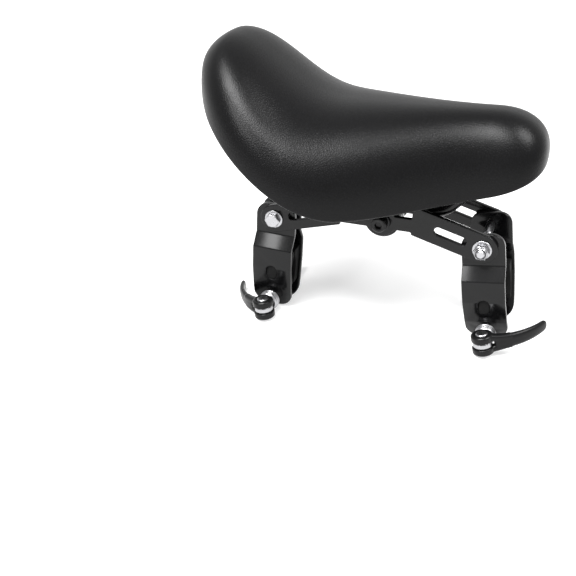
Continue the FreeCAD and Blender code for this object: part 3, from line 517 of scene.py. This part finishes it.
def use_group(material, name, make, **values):
    """Places a group in a material with values of its own; the group is built once and shared."""
    node = material.node_tree.nodes.new("ShaderNodeGroup")
    node.node_tree = bpy.data.node_groups.get(name) or make()
    for title, value in values.items():
        node.inputs[title].default_value = value
    return node


def add_handling(material, scale, low, high):
    """Lets faint marks vary a material's roughness."""
    tree = material.node_tree
    marks = use_group(material, "handling", handling_group, Scale=scale, Low=low, High=high)
    tree.links.new(marks.outputs["Roughness"], tree.nodes["Principled BSDF"].inputs["Roughness"])
    return marks


def add_bump(material, height, distance, strength):
    """Feeds a height to the shader's normal."""
    tree = material.node_tree
    bump = tree.nodes.new("ShaderNodeBump")
    bump.inputs["Distance"].default_value = distance
    bump.inputs["Strength"].default_value = strength
    tree.links.new(height, bump.inputs["Height"])
    tree.links.new(bump.outputs["Normal"], tree.nodes["Principled BSDF"].inputs["Normal"])


def tint_between(material, mask, dark, light):
    """Varies the base colour between two colours by a mask."""
    tree = material.node_tree
    mix = tree.nodes.new("ShaderNodeMix")
    mix.data_type = "RGBA"
    tree.links.new(mask, mix.inputs["Factor"])
    mix.inputs["A"].default_value = (*dark, 1.0)
    mix.inputs["B"].default_value = (*light, 1.0)
    tree.links.new(mix.outputs["Result"], tree.nodes["Principled BSDF"].inputs["Base Color"])


def scaled(colour, factor):
    """A colour with every channel multiplied by a factor."""
    return tuple(channel * factor for channel in colour)


def leatherette(s):
    """Black imitation leather: pebbled grain whose creases carry painted shade and whose pebble tops are
    painted a little lighter, a satin gloss that varies.
    """
    material = shader("cover_leatherette", s.colour, s.gloss, specular=s.sheen)
    grain = use_group(material, "pebble_grain", grain_group, Cell=1.0 / s.grain, Crease=0.32)
    add_handling(material, scale=35.0, low=s.gloss - 0.04, high=s.gloss + 0.05)
    # Painted shade and highlight: the crease mask darkens the creases between the pebbles and lightens the
    # pebbles' tops in the base colour.
    tint_between(material, grain.outputs["Crease"], scaled(s.colour, 0.6), scaled(s.colour, 1.1))
    add_bump(material, grain.outputs["Height"], distance=0.10 * MM, strength=0.40)
    return material


def painted(name, colour, gloss, sheen, peel=900.0):
    """Black paint on steel: a slight orange peel and faint handling marks."""
    material = shader(name, colour, gloss, specular=sheen)
    marks = add_handling(material, scale=45.0, low=gloss - 0.05, high=gloss + 0.05)
    tint_between(material, marks.outputs["Mask"], scaled(colour, 0.75), scaled(colour, 1.3))
    peel_height = object_noise(material.node_tree, scale=peel, detail=2.0)
    add_bump(material, peel_height, distance=0.02 * MM, strength=0.25)
    return material


def plated(s):
    """Zinc plating: bright metal with fine cloudiness and faint tool marks."""
    material = shader("bright_zinc", s.zinc, s.gloss, metallic=1.0)
    marks = add_handling(material, scale=180.0, low=s.gloss - 0.06, high=s.gloss + 0.08)
    tint_between(material, marks.outputs["Mask"], scaled(s.zinc, 0.85), scaled(s.zinc, 1.12))
    tool_marks = object_noise(material.node_tree, scale=5200.0, detail=3.0)
    add_bump(material, tool_marks, distance=0.008 * MM, strength=0.2)
    return material


def rubber(s):
    """Moulded rubber: matt, with a fine bloom."""
    material = shader("grip_rubber", s.rubber, roughness=0.75, specular=0.12)
    marks = add_handling(material, scale=90.0, low=0.6, high=0.85)
    tint_between(material, marks.outputs["Mask"], scaled(s.rubber, 0.7), scaled(s.rubber, 1.6))
    bloom = object_noise(material.node_tree, scale=2600.0, detail=3.0)
    add_bump(material, bloom, distance=0.03 * MM, strength=0.4)
    return material


def moulded(s):
    """Moulded plastic: an even fine texture."""
    material = shader("pan_plastic", s.plastic, roughness=0.5, specular=0.4)
    marks = add_handling(material, scale=40.0, low=0.42, high=0.58)
    tint_between(material, marks.outputs["Mask"], scaled(s.plastic, 0.8), scaled(s.plastic, 1.25))
    texture = object_noise(material.node_tree, scale=1800.0, detail=2.0)
    add_bump(material, texture, distance=0.05 * MM, strength=0.5)
    return material


def black_paint(context):
    """Paint of the bracket, the jaws, the rails and the saddle bolt, made once."""
    s = context.scene.tube_saddle_bracket
    made = bpy.data.materials.get("bracket_paint")
    return made or painted("bracket_paint", tuple(s.paint), s.gloss, s.sheen)


def zinc_steel(context):
    """Plating of the bolts, nuts, rods, pins and washers, made once."""
    return bpy.data.materials.get("bright_zinc") or plated(context.scene.tube_saddle_hardware)


# Saddle cover

# Places along the cover, as shares of its length from the tail
BROADEST = 0.354
TAPER_START, TAPER_END = 0.321, 0.87
CREST = 0.079
DIP_END = 0.472
NOSE_ROUND = 0.837
# Powers of the rounded ends in plan and from the side, of the rim's rise and of the crown's lift
TAIL_PLAN_POWER, NOSE_PLAN_POWER = 2.25, 2.9
TAIL_SIDE_POWER, NOSE_SIDE_POWER = 1.8, 2.4
TAIL_RISE, NOSE_RISE = 1.62, 1.75
CREST_LIFT_POWER, NOSE_LIFT_POWER = 1.73, 2.0
# Heights of the two poles, as shares from the rim to the crown
TAIL_LEVEL, NOSE_LEVEL = 0.4, 0.235
# Powers of a section's sides and top: below 1 is fuller than an ellipse
SIDE_FULLNESS, TOP_FULLNESS = 0.79, 0.887
# Most that the bead takes of a section, least share of the hollow, and half width over padding at its start
BEAD_SHARE, HOLLOW_SHARE, HOLLOW_START = 0.3, 0.35, 1.2


def cover_lines(s, u):
    """Half width, rim and crown at shares u of the length.

    The width tapers by a smoothstep, and the crest rises by a power of one. The rim and the nose rise by
    powers of the distance from the dip. A superellipse rounds both ends off, in plan and from the side.
    """
    taper = smoothstep((u - TAPER_START) / (TAPER_END - TAPER_START))
    half = (s.tail_width + (s.nose_width - s.tail_width) * taper) / 2
    past = (u - NOSE_ROUND) / (1.0 - NOSE_ROUND)
    half = half * rounding((BROADEST - u) / BROADEST, TAIL_PLAN_POWER) * rounding(past, NOSE_PLAN_POWER)
    to_nose = np.maximum((u - DIP_END) / (1 - DIP_END), 0.0)
    to_crest = smoothstep((DIP_END - u) / (DIP_END - CREST))
    crown = s.seat + s.nose_lift * to_nose ** NOSE_LIFT_POWER + s.tail_lift * to_crest ** CREST_LIFT_POWER
    rim = s.rim + s.rim_nose * to_nose ** NOSE_RISE
    rim = rim + s.rim_tail * np.maximum((DIP_END - u) / DIP_END, 0.0) ** TAIL_RISE
    ends = rounding((CREST - u) / CREST, TAIL_SIDE_POWER) * rounding(past, NOSE_SIDE_POWER)
    middle = rim + np.where(u < DIP_END, TAIL_LEVEL, NOSE_LEVEL) * (crown - rim)
    return half, middle - (middle - rim) * ends, middle + (crown - middle) * ends


def cover_surface(s, rows=240, dome_columns=150, bead_columns=12, under_columns=60):
    """A closed form with poles at tail and nose.

    Over the top, (y, z) = (half * cos(a)^p, rim + height * sin(a)^q) for a from 0 to pi. The lower edge turns
    under in a bead, and the underside rises into the hollow as a smaller dome of the same kind.
    """
    u = 0.5 - 0.5 * np.cos(np.linspace(0.0, math.pi, rows))
    half, rim, crown = cover_lines(s, u)
    bead = np.minimum(s.bead, half * BEAD_SHARE)
    low = rim + np.minimum(bead, (crown - rim) * BEAD_SHARE)
    a = np.linspace(0.0, math.pi, dome_columns)
    across = signed_power(np.cos(a), SIDE_FULLNESS)
    up = np.abs(np.sin(a)) ** TOP_FULLNESS
    top_y = half[:, None] * across
    top_z = low[:, None] + (crown - low)[:, None] * up
    # The bead: a half turn from the outer side to the underside, at the right and then at the left.
    turn = np.linspace(0.0, math.pi, bead_columns + 1)[1:]
    bead_y = half[:, None] - bead[:, None] * (1.0 - np.cos(turn))
    bead_z = low[:, None] - (low - rim)[:, None] * np.sin(turn)
    inner_half = np.maximum(half - s.foam_side, half * HOLLOW_SHARE)
    depth = np.maximum(crown - s.foam_top - low, 0.0) * smoothstep(half / s.foam_side - HOLLOW_START)
    b = np.linspace(math.pi, 0.0, under_columns)
    under_y = inner_half[:, None] * signed_power(np.cos(b), SIDE_FULLNESS)
    under_z = low[:, None] + depth[:, None] * np.abs(np.sin(b)) ** TOP_FULLNESS
    y = np.concatenate([top_y, -bead_y, under_y, bead_y[:, ::-1]], axis=1)
    z = np.concatenate([top_z, bead_z, under_z, bead_z[:, ::-1]], axis=1)
    x = np.broadcast_to((s.tail + s.reach * u)[:, None], y.shape)
    points = np.stack([x, y, z], axis=-1)
    return points.reshape(-1, 3), quad_grid(rows, points.shape[1])


class TUBE_SADDLE_OT_cover(bpy.types.Operator):
    """Makes the padded cover"""

    bl_idname = "tube_saddle.cover"
    bl_label = "Padded cover"

    def execute(self, context):
        s = context.scene.tube_saddle_cover
        material = leatherette(s)
        cover = finish_piece(
            "cover_skin", cover_surface(s), "saddle", ["saddle_cover"], material)
        return {"FINISHED"}


# Bracket


class TUBE_SADDLE_OT_plates(bpy.types.Operator):
    """Finishes the painted plates, jaws, rails, rubber pads and the base pan"""

    bl_idname = "tube_saddle.plates"
    bl_label = "Plates and pads"

    def execute(self, context):
        s = context.scene.tube_saddle_bracket
        looks = {
            "black_paint": black_paint(context),
            "zinc_steel": zinc_steel(context),
            "pad_rubber": rubber(s),
            "base_plastic": moulded(s),
            # Only on the node that the padded cover replaces
            "leatherette": black_paint(context),
        }
        plain = ("rail_right", "rail_left", "saddle_base_pan", "saddle_cover")
        for part in frame["record"]["subparts"]:
            edge = 0.0 if part["node"] in plain else s.edge
            dress(part["node"], looks[part["material_slot"]], edge)
        return {"FINISHED"}


# Bolts and nuts

ALONG_BOLT = np.array([0.0, 1.0, 0.0])
HEXAGON_COLUMNS, SHANK_COLUMNS, ROUND_COLUMNS = 96, 48, 96
# A turned blank's radius over the hexagon's corners, and a shank's chamfer over the thread's depth
BLANK, TIP_CHAMFER = 1.02, 1.4
# How far a shank runs into its head, and the play round it
OVERLAP, PLAY = 0.2 * MM, 0.05 * MM


def along_bolts(node):
    """Where a node's axis crosses the middle plane, its two ends along Y, and its half width."""
    low, high = (np.array(corner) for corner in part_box(node))
    centre = (low + high) / 2
    centre[1] = 0.0
    return centre, low[1], high[1], (high[0] - low[0]) / 2


def hexagon_form(s, blend=0.04 * MM):
    """Draws a turned radius in to the hexagon where it is larger."""

    def form(radius, along, turn):
        return soft_least(radius, np.where(radius > 0.0, hexagon(turn, s.flats), 1.0), blend)

    return form


def thread_form(start, end, pitch, depth):
    """Cuts a rounded thread into a turned radius between two places, fading over a pitch at each end.

    The radius becomes r + depth (sin(2 pi along / pitch - a) - 1) / 2, unless it is less than two depths.
    """

    def form(radius, along, turn):
        fade = smoothstep((along - start) / pitch) * smoothstep((end - along) / pitch)
        cut = depth * 0.5 * (np.sin(2.0 * math.pi * along / pitch - turn) - 1.0) * fade
        return np.where(radius > depth * 2.0, radius + cut, radius)

    return form


def bolt_shank(s, plain, tip, centre, axis):
    """A shank that follows a plain profile to the middle plane, then a thread to its chamfered tip."""
    chamfer = s.thread * TIP_CHAMFER
    profile = np.concatenate([
        plain,
        threaded_stretch(0.0, -tip + chamfer, s.shank, s.pitch),
        [(s.shank - chamfer, -tip), (0.0, -tip)],
    ])
    return lathe(profile, centre, axis, SHANK_COLUMNS, form=thread_form(-tip, 0.0, s.pitch, s.thread))


def hexagon_bolt(s, node, head_side):
    """A hexagon head with a turned chamfer, and a shank that is threaded towards its tip."""
    centre, low, high, _ = along_bolts(node)
    outer, tip = (high, -low) if head_side > 0 else (-low, high)
    axis = ALONG_BOLT * head_side
    under = outer - s.head
    blank = hexagon_corner(s.flats) * BLANK
    neck = s.shank * 0.8
    head = eased([
        (0.0, outer), (s.flats * 0.44, outer), (blank, outer - s.flats * 0.09), (blank, under), (neck, under),
    ], radius=0.25 * MM)
    head = np.concatenate([head, [(0.0, under)]])
    top = lathe(head, centre, axis, HEXAGON_COLUMNS, form=hexagon_form(s))
    plain = [(0.0, under + OVERLAP), (neck, under + OVERLAP), (s.shank, under), (s.shank, 0.0)]
    return together([top, bolt_shank(s, plain, tip, centre, axis)])


def lock_nut(s, node, side):
    """A hexagon nut: chamfered at both faces, with a round locking crown and a bore."""
    centre, low, high, _ = along_bolts(node)
    seat, top = (low, high) if side > 0 else (-high, -low)
    rim = seat + s.nut
    blank = hexagon_corner(s.flats) * BLANK
    slope = s.flats * 0.07
    bore = s.shank + PLAY
    loop = [
        (bore, seat), (s.flats * 0.45, seat), (blank, seat + slope), (blank, rim - slope),
        (s.flats * 0.46, rim), (s.crown, rim + 0.1 * MM), (s.crown, top - 0.5 * MM),
        (s.crown - 0.4 * MM, top), (s.shank + 0.75 * MM, top), (bore, top - 1.2 * MM), (bore, seat),
    ]
    profile = eased(loop, radius=0.3 * MM)
    return lathe(profile, centre, ALONG_BOLT * side, HEXAGON_COLUMNS, form=hexagon_form(s))


def cap_screw(s, node, columns=144, knurls=36, knurl_depth=0.16 * MM, side_rows=9):
    """A round head with a knurled side and a hexagon socket, and a threaded shank."""
    centre, low, tip, _ = along_bolts(node)
    outer = -low
    under = outer - s.cap_height
    floor = outer - s.key_depth

    def head_form(radius, along, turn):
        inside = (along > floor - 0.1 * MM) & (radius < s.key * 0.62)
        socket = np.where(inside & (radius > 0.0), np.minimum(radius, hexagon(turn, s.key)), radius)
        side = smoothstep((radius - s.cap * 0.93) / (s.cap * 0.07))
        side = side * smoothstep((outer - 1.0 * MM - along) / (0.6 * MM))
        side = side * smoothstep((along - under - 0.5 * MM) / (0.4 * MM))
        return socket - side * knurling(turn, knurls, knurl_depth)

    corner = hexagon_corner(s.key)
    mouth = (corner * 1.04, outer - 0.3 * MM)
    well = [(0.0, floor - 0.6 * MM), (corner * 1.04, floor), mouth]
    face = eased([mouth, (corner * 1.18, outer), (s.cap * 0.86, outer), (s.cap, outer - 0.8 * MM)],
                 radius=0.25 * MM)
    side = np.linspace((s.cap, outer - 1.0 * MM), (s.cap, under + 0.3 * MM), side_rows)
    foot = [(s.cap - 0.3 * MM, under), (0.0, under)]
    profile = np.concatenate([well, face[1:], side, foot])
    head = lathe(profile, centre, -ALONG_BOLT, columns, form=head_form)
    plain = [(0.0, under + OVERLAP), (s.shank, under + OVERLAP), (s.shank, 0.0)]
    return together([head, bolt_shank(s, plain, tip, centre, -ALONG_BOLT)])


class TUBE_SADDLE_OT_fasteners(bpy.types.Operator):
    """Makes the clamp bolts, the saddle bolt and their lock nuts"""

    bl_idname = "tube_saddle.fasteners"
    bl_label = "Bolts and nuts"

    def execute(self, context):
        s = context.scene.tube_saddle_hardware
        looks = {"zinc_steel": zinc_steel(context), "black_paint": black_paint(context)}
        for node, surface, slot in (
            ("front_clamp_bolt", hexagon_bolt(s, "front_clamp_bolt", 1), "zinc_steel"),
            ("front_clamp_nut", lock_nut(s, "front_clamp_nut", -1), "zinc_steel"),
            ("rear_clamp_bolt", hexagon_bolt(s, "rear_clamp_bolt", -1), "zinc_steel"),
            ("rear_clamp_nut", lock_nut(s, "rear_clamp_nut", 1), "zinc_steel"),
            ("saddle_bolt", cap_screw(s, "saddle_bolt"), "black_paint"),
            ("saddle_nut", lock_nut(s, "saddle_nut", 1), "black_paint"),
        ):
            finish_piece(node + "_turned", surface, "bracket", [node], looks[slot], TURNED_LIMIT)
        return {"FINISHED"}


# Quick-release levers

# Where a prong ends and where it joins the arm, as shares of the length, and its place there over the waist
PRONG_END, PRONG_JOIN, PRONG_PLACE = 0.42, 0.36, 0.27
LEVER_VOXEL, LEVER_PASSES = 0.36 * MM, 5
ROD_COLUMNS, ROD_THREAD, ROD_PLAY = 40, 0.4 * MM, 0.06 * MM


def lever_frame(joint):
    """Centre of a lever's pin, and the directions along the arm, across to the tube and along the pin."""
    row = next(item for item in frame["record"]["behaviour"]["joints"] if item["name"] == joint)
    pin = -np.array(row["axis"], dtype=float)
    pin = pin / np.linalg.norm(pin)
    return np.array(row["pos_m"], dtype=float), np.cross(ALONG_BOLT, pin), ALONG_BOLT, pin


def lever_tube(s, close, axes, span, middle, half_width, thickness, rows=60, columns=40,
               square=0.75, blunt=0.9, thinning=0.7):
    """A superellipse section along a curve of even bend.

    At a share q of the length the curve has turned by close + bend q, and its point lies at
    reach q sinc(bend q / 2) in the direction close + bend q / 2. The section is
    (thickness |cos|^p, width |sin|^p), drawn to a point by a quarter ellipse at both ends of the span.
    """
    centre, forward, across, pin = axes
    t = 0.5 - 0.5 * np.cos(np.linspace(0.0, math.pi, rows))
    q = span[0] + (span[1] - span[0]) * t
    chord = close + s.bend * q / 2
    reach = s.reach * q * np.sinc(s.bend * q / 2 / math.pi)
    heading = close + s.bend * q
    spine = centre + reach[:, None] * (np.cos(chord)[:, None] * forward + np.sin(chord)[:, None] * across)
    spine = spine + middle(q)[:, None] * pin
    normal = -np.sin(heading)[:, None] * forward + np.cos(heading)[:, None] * across
    along = q * s.reach
    ends = rounding(1.0 - (along - along[0]) / (thickness(q) * blunt), 2.0)
    ends = ends * rounding(1.0 - (along[-1] - along) / half_width(q), 2.0)
    a = np.linspace(0.0, 2.0 * math.pi, columns, endpoint=False)[None, :, None]
    up = (thickness(q) * ends ** thinning)[:, None, None] * signed_power(np.cos(a), square)
    aside = (half_width(q) * ends)[:, None, None] * signed_power(np.sin(a), square)
    points = spine[:, None] + up * normal[:, None] + aside * pin
    return points.reshape(-1, 3), quad_grid(rows, columns)


def lever_skin(s, name, close, axes):
    """The lever's outer skin: an arm, two prongs and two round ears, fused."""
    centre, _, _, pin = axes
    ear_middle = (s.gap + s.width) / 4
    ear_half = (s.width - s.gap) / 4
    begin = (s.eye + 1.2 * MM) / s.reach

    def thickness(q):
        return (s.root + (s.tip - s.root) * q) / 2

    def arm_width(q):
        return (s.waist + (s.end - s.waist) * q * q) / 2

    def prong_middle(q):
        return ear_middle + (s.waist * PRONG_PLACE - ear_middle) * smoothstep(q / PRONG_JOIN)

    def prong_width(q):
        return ear_half * (0.98 + 0.1 * q)

    rim, bore = s.head, s.pin + 0.1 * MM
    ear = eased([
        (bore, -ear_half), (rim - 0.2 * MM, -ear_half), (rim, -ear_half + 0.6 * MM),
        (rim, ear_half - 1.0 * MM), (rim - 1.0 * MM, ear_half), (s.pin + 0.7 * MM, ear_half),
        (bore, ear_half - 0.6 * MM), (bore, -ear_half),
    ], radius=0.5 * MM)
    surfaces = [lever_tube(s, close, axes, (begin, 1.0), np.zeros_like, arm_width, thickness)]
    for side in (1.0, -1.0):
        surfaces.append(lever_tube(
            s, close, axes, (0.0, PRONG_END), lambda q: side * prong_middle(q), prong_width, thickness))
        surfaces.append(lathe(ear, centre + pin * ear_middle * side, pin * side, ROUND_COLUMNS))
    return fused_mesh(name, surfaces, LEVER_VOXEL, LEVER_PASSES)


def pivot_surface(s, axes):
    """The cross pin with domed ends and the round eye between the ears."""
    centre, _, _, pin = axes
    end = s.width / 2 + 0.7 * MM
    eye = s.gap / 2 - 0.25 * MM
    half = [(0.0, end), (s.pin - 0.7 * MM, end), (s.pin, end - 0.6 * MM), (s.pin, eye),
            (s.eye - 0.6 * MM, eye), (s.eye, eye - 0.6 * MM), (s.eye, 0.0)]
    other = [(radius, -along) for radius, along in reversed(half[:-1])]
    return lathe(eased(half + other, radius=0.35 * MM), centre, pin, ROUND_COLUMNS)


def rod_surface(s, node):
    """The rod: a plain stretch at the lever's side and a thread from the middle to the far end."""
    centre, low, high, _ = along_bolts(node)
    chamfer = 0.6 * MM
    profile = np.concatenate([
        [(0.0, low), (s.rod - chamfer, low), (s.rod, low + chamfer), (s.rod, 0.0)],
        threaded_stretch(0.0, high - chamfer, s.rod, s.pitch),
        [(s.rod - chamfer, high), (0.0, high)],
    ])
    thread = thread_form(0.0, high, s.pitch, ROD_THREAD)
    return lathe(profile, centre, ALONG_BOLT, ROD_COLUMNS, form=thread)


def cup_surface(s, node):
    """The cup washer: a stepped, grooved side and a dished face towards the cheek."""
    centre, low, high, wide = along_bolts(node)
    tall = high - low
    bore = s.rod + ROD_PLAY
    loop = [
        (bore, 0.27 * tall), (wide * 0.58, 0.27 * tall), (wide * 0.60, 0.0), (wide * 0.80, 0.0),
        (wide * 0.94, 0.16 * tall), (wide * 0.97, 0.30 * tall), (wide * 0.88, 0.36 * tall),
        (wide * 0.88, 0.44 * tall), (wide, 0.50 * tall), (wide, 0.70 * tall), (wide * 0.92, 0.75 * tall),
        (wide * 0.92, 0.81 * tall), (wide, 0.86 * tall), (wide, tall), (wide * 0.80, tall),
        (wide * 0.45, 0.55 * tall), (bore, 0.5 * tall), (bore, 0.27 * tall),
    ]
    return lathe(eased(loop, radius=0.3 * MM), centre + ALONG_BOLT * low, ALONG_BOLT, ROUND_COLUMNS)


def thumb_nut_surface(s, node, columns=120, knurls=30, knurl_depth=0.22 * MM, bead_rows=7):
    """The far nut: a coned nose, a knurled bead, a waist and a lip."""
    centre, low, high, wide = along_bolts(node)
    long = high - low
    bore = s.rod + ROD_PLAY

    def form(radius, along, turn):
        side = smoothstep((radius - wide * 0.94) / (wide * 0.05))
        return radius - side * knurling(turn, knurls, knurl_depth)

    bead = np.linspace((wide, 0.17 * long), (wide, 0.27 * long), bead_rows)
    nose = [(bore, 0.0), (bore + 1.2 * MM, 0.0), (wide, 0.14 * long)]
    tail = [(wide, 0.28 * long), (wide * 0.70, 0.40 * long), (wide * 0.69, 0.65 * long),
            (wide * 0.76, 0.96 * long), (wide * 0.70, long), (bore, long), (bore, 0.0)]
    nose = eased([*nose, bead[0]], radius=0.4 * MM)
    profile = np.concatenate([nose, bead[1:], eased(tail, radius=0.5 * MM)])
    return lathe(profile, centre + ALONG_BOLT * low, ALONG_BOLT, columns, form=form)


class TUBE_SADDLE_OT_levers(bpy.types.Operator):
    """Makes the quick-release levers with their pins, rods, cups and thumb nuts"""

    bl_idname = "tube_saddle.levers"
    bl_label = "Quick-release levers"

    def execute(self, context):
        s = context.scene.tube_saddle_lever
        zinc = zinc_steel(context)
        paint = painted("lever_paint", tuple(s.paint), s.gloss, s.sheen, peel=1400.0)
        for end, close in (("front", s.front_close), ("rear", s.rear_close)):
            axes = lever_frame(end + "_lever_turn")
            clamp = end + "_clamp"
            lever = end + "_lever"
            skin = lever_skin(s, lever + "_skin", close, axes)
            seat_piece(lever + "_skin", skin, lever, [lever], paint)
            for node, surface, body in (
                (lever + "_pivot", pivot_surface(s, axes), clamp),
                (end + "_rod", rod_surface(s, end + "_rod"), clamp),
                (end + "_cup_washer", cup_surface(s, end + "_cup_washer"), clamp),
                (end + "_rod_nut", thumb_nut_surface(s, end + "_rod_nut"), end + "_far_cheek"),
            ):
                finish_piece(node + "_turned", surface, body, [node], zinc, TURNED_LIMIT)
        return {"FINISHED"}


# Stage

# Half of the floor's side, in metres
FLOOR_HALF = 6.0
# Place, target, width and height, in metres, and power in watts
LAMPS = {
    "over_tail": ((-0.34, -0.52, 1.12), (-0.1, 0.0, 0.15), (0.62, 0.56), 34.0),
    "over_shoulder": ((0.00, -0.68, 0.98), (0.02, 0.0, 0.12), (0.42, 0.34), 7.5),
    "nose": ((0.74, -0.20, 1.06), (0.05, 0.0, 0.1), (0.66, 0.52), 21.0),
    "left": ((-0.225, -0.385, 0.345), (-0.08, -0.03, 0.025), (0.12, 0.12), 0.9),
}


def lamp(name, place, target, size, energy):
    """A rectangular area lamp that looks from its place to a target."""
    data = bpy.data.lights.new(name, "AREA")
    data.shape = "RECTANGLE"
    data.size, data.size_y = size
    data.energy = energy
    light = bpy.data.objects.new(name, data)
    aim = np.array(target) - np.array(place)
    light.location = place
    flat = math.hypot(aim[0], aim[1])
    light.rotation_euler = (math.atan2(flat, -aim[2]), 0.0, math.atan2(-aim[0], aim[1]))
    light.visible_camera = False
    bpy.context.scene.collection.objects.link(light)


def seen_directly(tree):
    """1 where the camera, a reflection or a refraction sees the surface, and 0 for other light."""
    path = tree.nodes.new("ShaderNodeLightPath")
    seen = math_node(tree, "MAXIMUM", path.outputs["Is Camera Ray"], path.outputs["Is Glossy Ray"])
    return math_node(tree, "MAXIMUM", seen, path.outputs["Is Transmission Ray"])


def white_floor(s):
    """A matt floor that adds a glow, stronger away from the object, so it is white but keeps the shadow."""
    material = shader("floor", s.floor, roughness=0.9, specular=0.0)
    tree = material.node_tree
    place = tree.nodes.new("ShaderNodeTexCoord")
    away = tree.nodes.new("ShaderNodeVectorMath")
    away.operation = "LENGTH"
    tree.links.new(place.outputs["Object"], away.inputs[0])
    level = spread(tree, math_node(tree, "DIVIDE", away.outputs["Value"], s.spread), s.glow, s.far_glow)
    glow = tree.nodes.new("ShaderNodeEmission")
    tree.links.new(math_node(tree, "MULTIPLY", seen_directly(tree), level), glow.inputs["Strength"])
    both = tree.nodes.new("ShaderNodeAddShader")
    tree.links.new(tree.nodes["Principled BSDF"].outputs[0], both.inputs[0])
    tree.links.new(glow.outputs[0], both.inputs[1])
    tree.links.new(both.outputs[0], tree.nodes["Material Output"].inputs["Surface"])
    return material


def add_floor(s, scene):
    """A square floor just below the part."""
    ground = CAD_BOX[0][2] - s.floor_gap
    corners = [(x * FLOOR_HALF, y * FLOOR_HALF, ground) for x, y in ((-1, -1), (1, -1), (1, 1), (-1, 1))]
    mesh = bpy.data.meshes.new("floor")
    mesh.from_pydata(corners, [], [[0, 1, 2, 3]])
    floor = bpy.data.objects.new("floor", mesh)
    scene.collection.objects.link(floor)
    mesh.materials.append(white_floor(s))


def add_world(s, scene):
    """An even white surround that lights the part more weakly than it shows."""
    world = bpy.data.worlds.new("studio")
    world.use_nodes = True
    tree = world.node_tree
    sky = tree.nodes["Background"]
    sky.inputs["Color"].default_value = (1.0, 1.0, 1.0, 1.0)
    tree.links.new(spread(tree, seen_directly(tree), s.world, 1.0), sky.inputs["Strength"])
    scene.world = world


def add_camera(s, scene):
    """The camera, with a plain colour transform."""
    data = bpy.data.cameras.new("camera")
    data.lens = s.lens
    data.sensor_width = 36.0
    data.clip_start = 0.01
    camera = bpy.data.objects.new("camera", data)
    camera.location = s.camera_place
    camera.rotation_euler = s.camera_turn
    scene.collection.objects.link(camera)
    scene.camera = camera
    scene.view_settings.view_transform = "Standard"


class TUBE_SADDLE_OT_stage(bpy.types.Operator):
    """Sets up the floor, the lamps and the camera"""

    bl_idname = "tube_saddle.stage"
    bl_label = "Stage"

    def execute(self, context):
        s = context.scene.tube_saddle_stage
        add_floor(s, context.scene)
        for name, values in LAMPS.items():
            lamp(name, *values)
        add_world(s, context.scene)
        add_camera(s, context.scene)
        return {"FINISHED"}


SETTINGS = {
    "tube_saddle_cover": CoverSettings,
    "tube_saddle_bracket": BracketSettings,
    "tube_saddle_hardware": HardwareSettings,
    "tube_saddle_lever": LeverSettings,
    "tube_saddle_stage": StageSettings,
}
OPERATORS = (
    TUBE_SADDLE_OT_plates,
    TUBE_SADDLE_OT_fasteners,
    TUBE_SADDLE_OT_levers,
    TUBE_SADDLE_OT_cover,
    TUBE_SADDLE_OT_stage,
)


class TUBE_SADDLE_PT_panel(bpy.types.Panel):
    """Lists the operators in the order they run"""

    bl_label = "Child saddle"
    bl_idname = "TUBE_SADDLE_PT_panel"
    bl_space_type = "VIEW_3D"
    bl_region_type = "UI"
    bl_category = "Child saddle"

    def draw(self, context):
        for operator in OPERATORS:
            self.layout.operator(operator.bl_idname)


def register():
    """Registers the settings, the operators and the panel."""
    for group in (*SETTINGS.values(), *OPERATORS, TUBE_SADDLE_PT_panel):
        bpy.utils.register_class(group)
    for name, group in SETTINGS.items():
        setattr(bpy.types.Scene, name, bpy.props.PointerProperty(type=group))


def unregister():
    """Takes the settings, the operators and the panel away again."""
    for name in SETTINGS:
        delattr(bpy.types.Scene, name)
    for group in reversed((*SETTINGS.values(), *OPERATORS, TUBE_SADDLE_PT_panel)):
        bpy.utils.unregister_class(group)


def main():
    """Builds the scene with the operators."""
    register()
    bpy.ops.tube_saddle.plates()
    bpy.ops.tube_saddle.fasteners()
    bpy.ops.tube_saddle.levers()
    bpy.ops.tube_saddle.cover()
    bpy.ops.tube_saddle.stage()


if __name__ == "__main__":
    main()
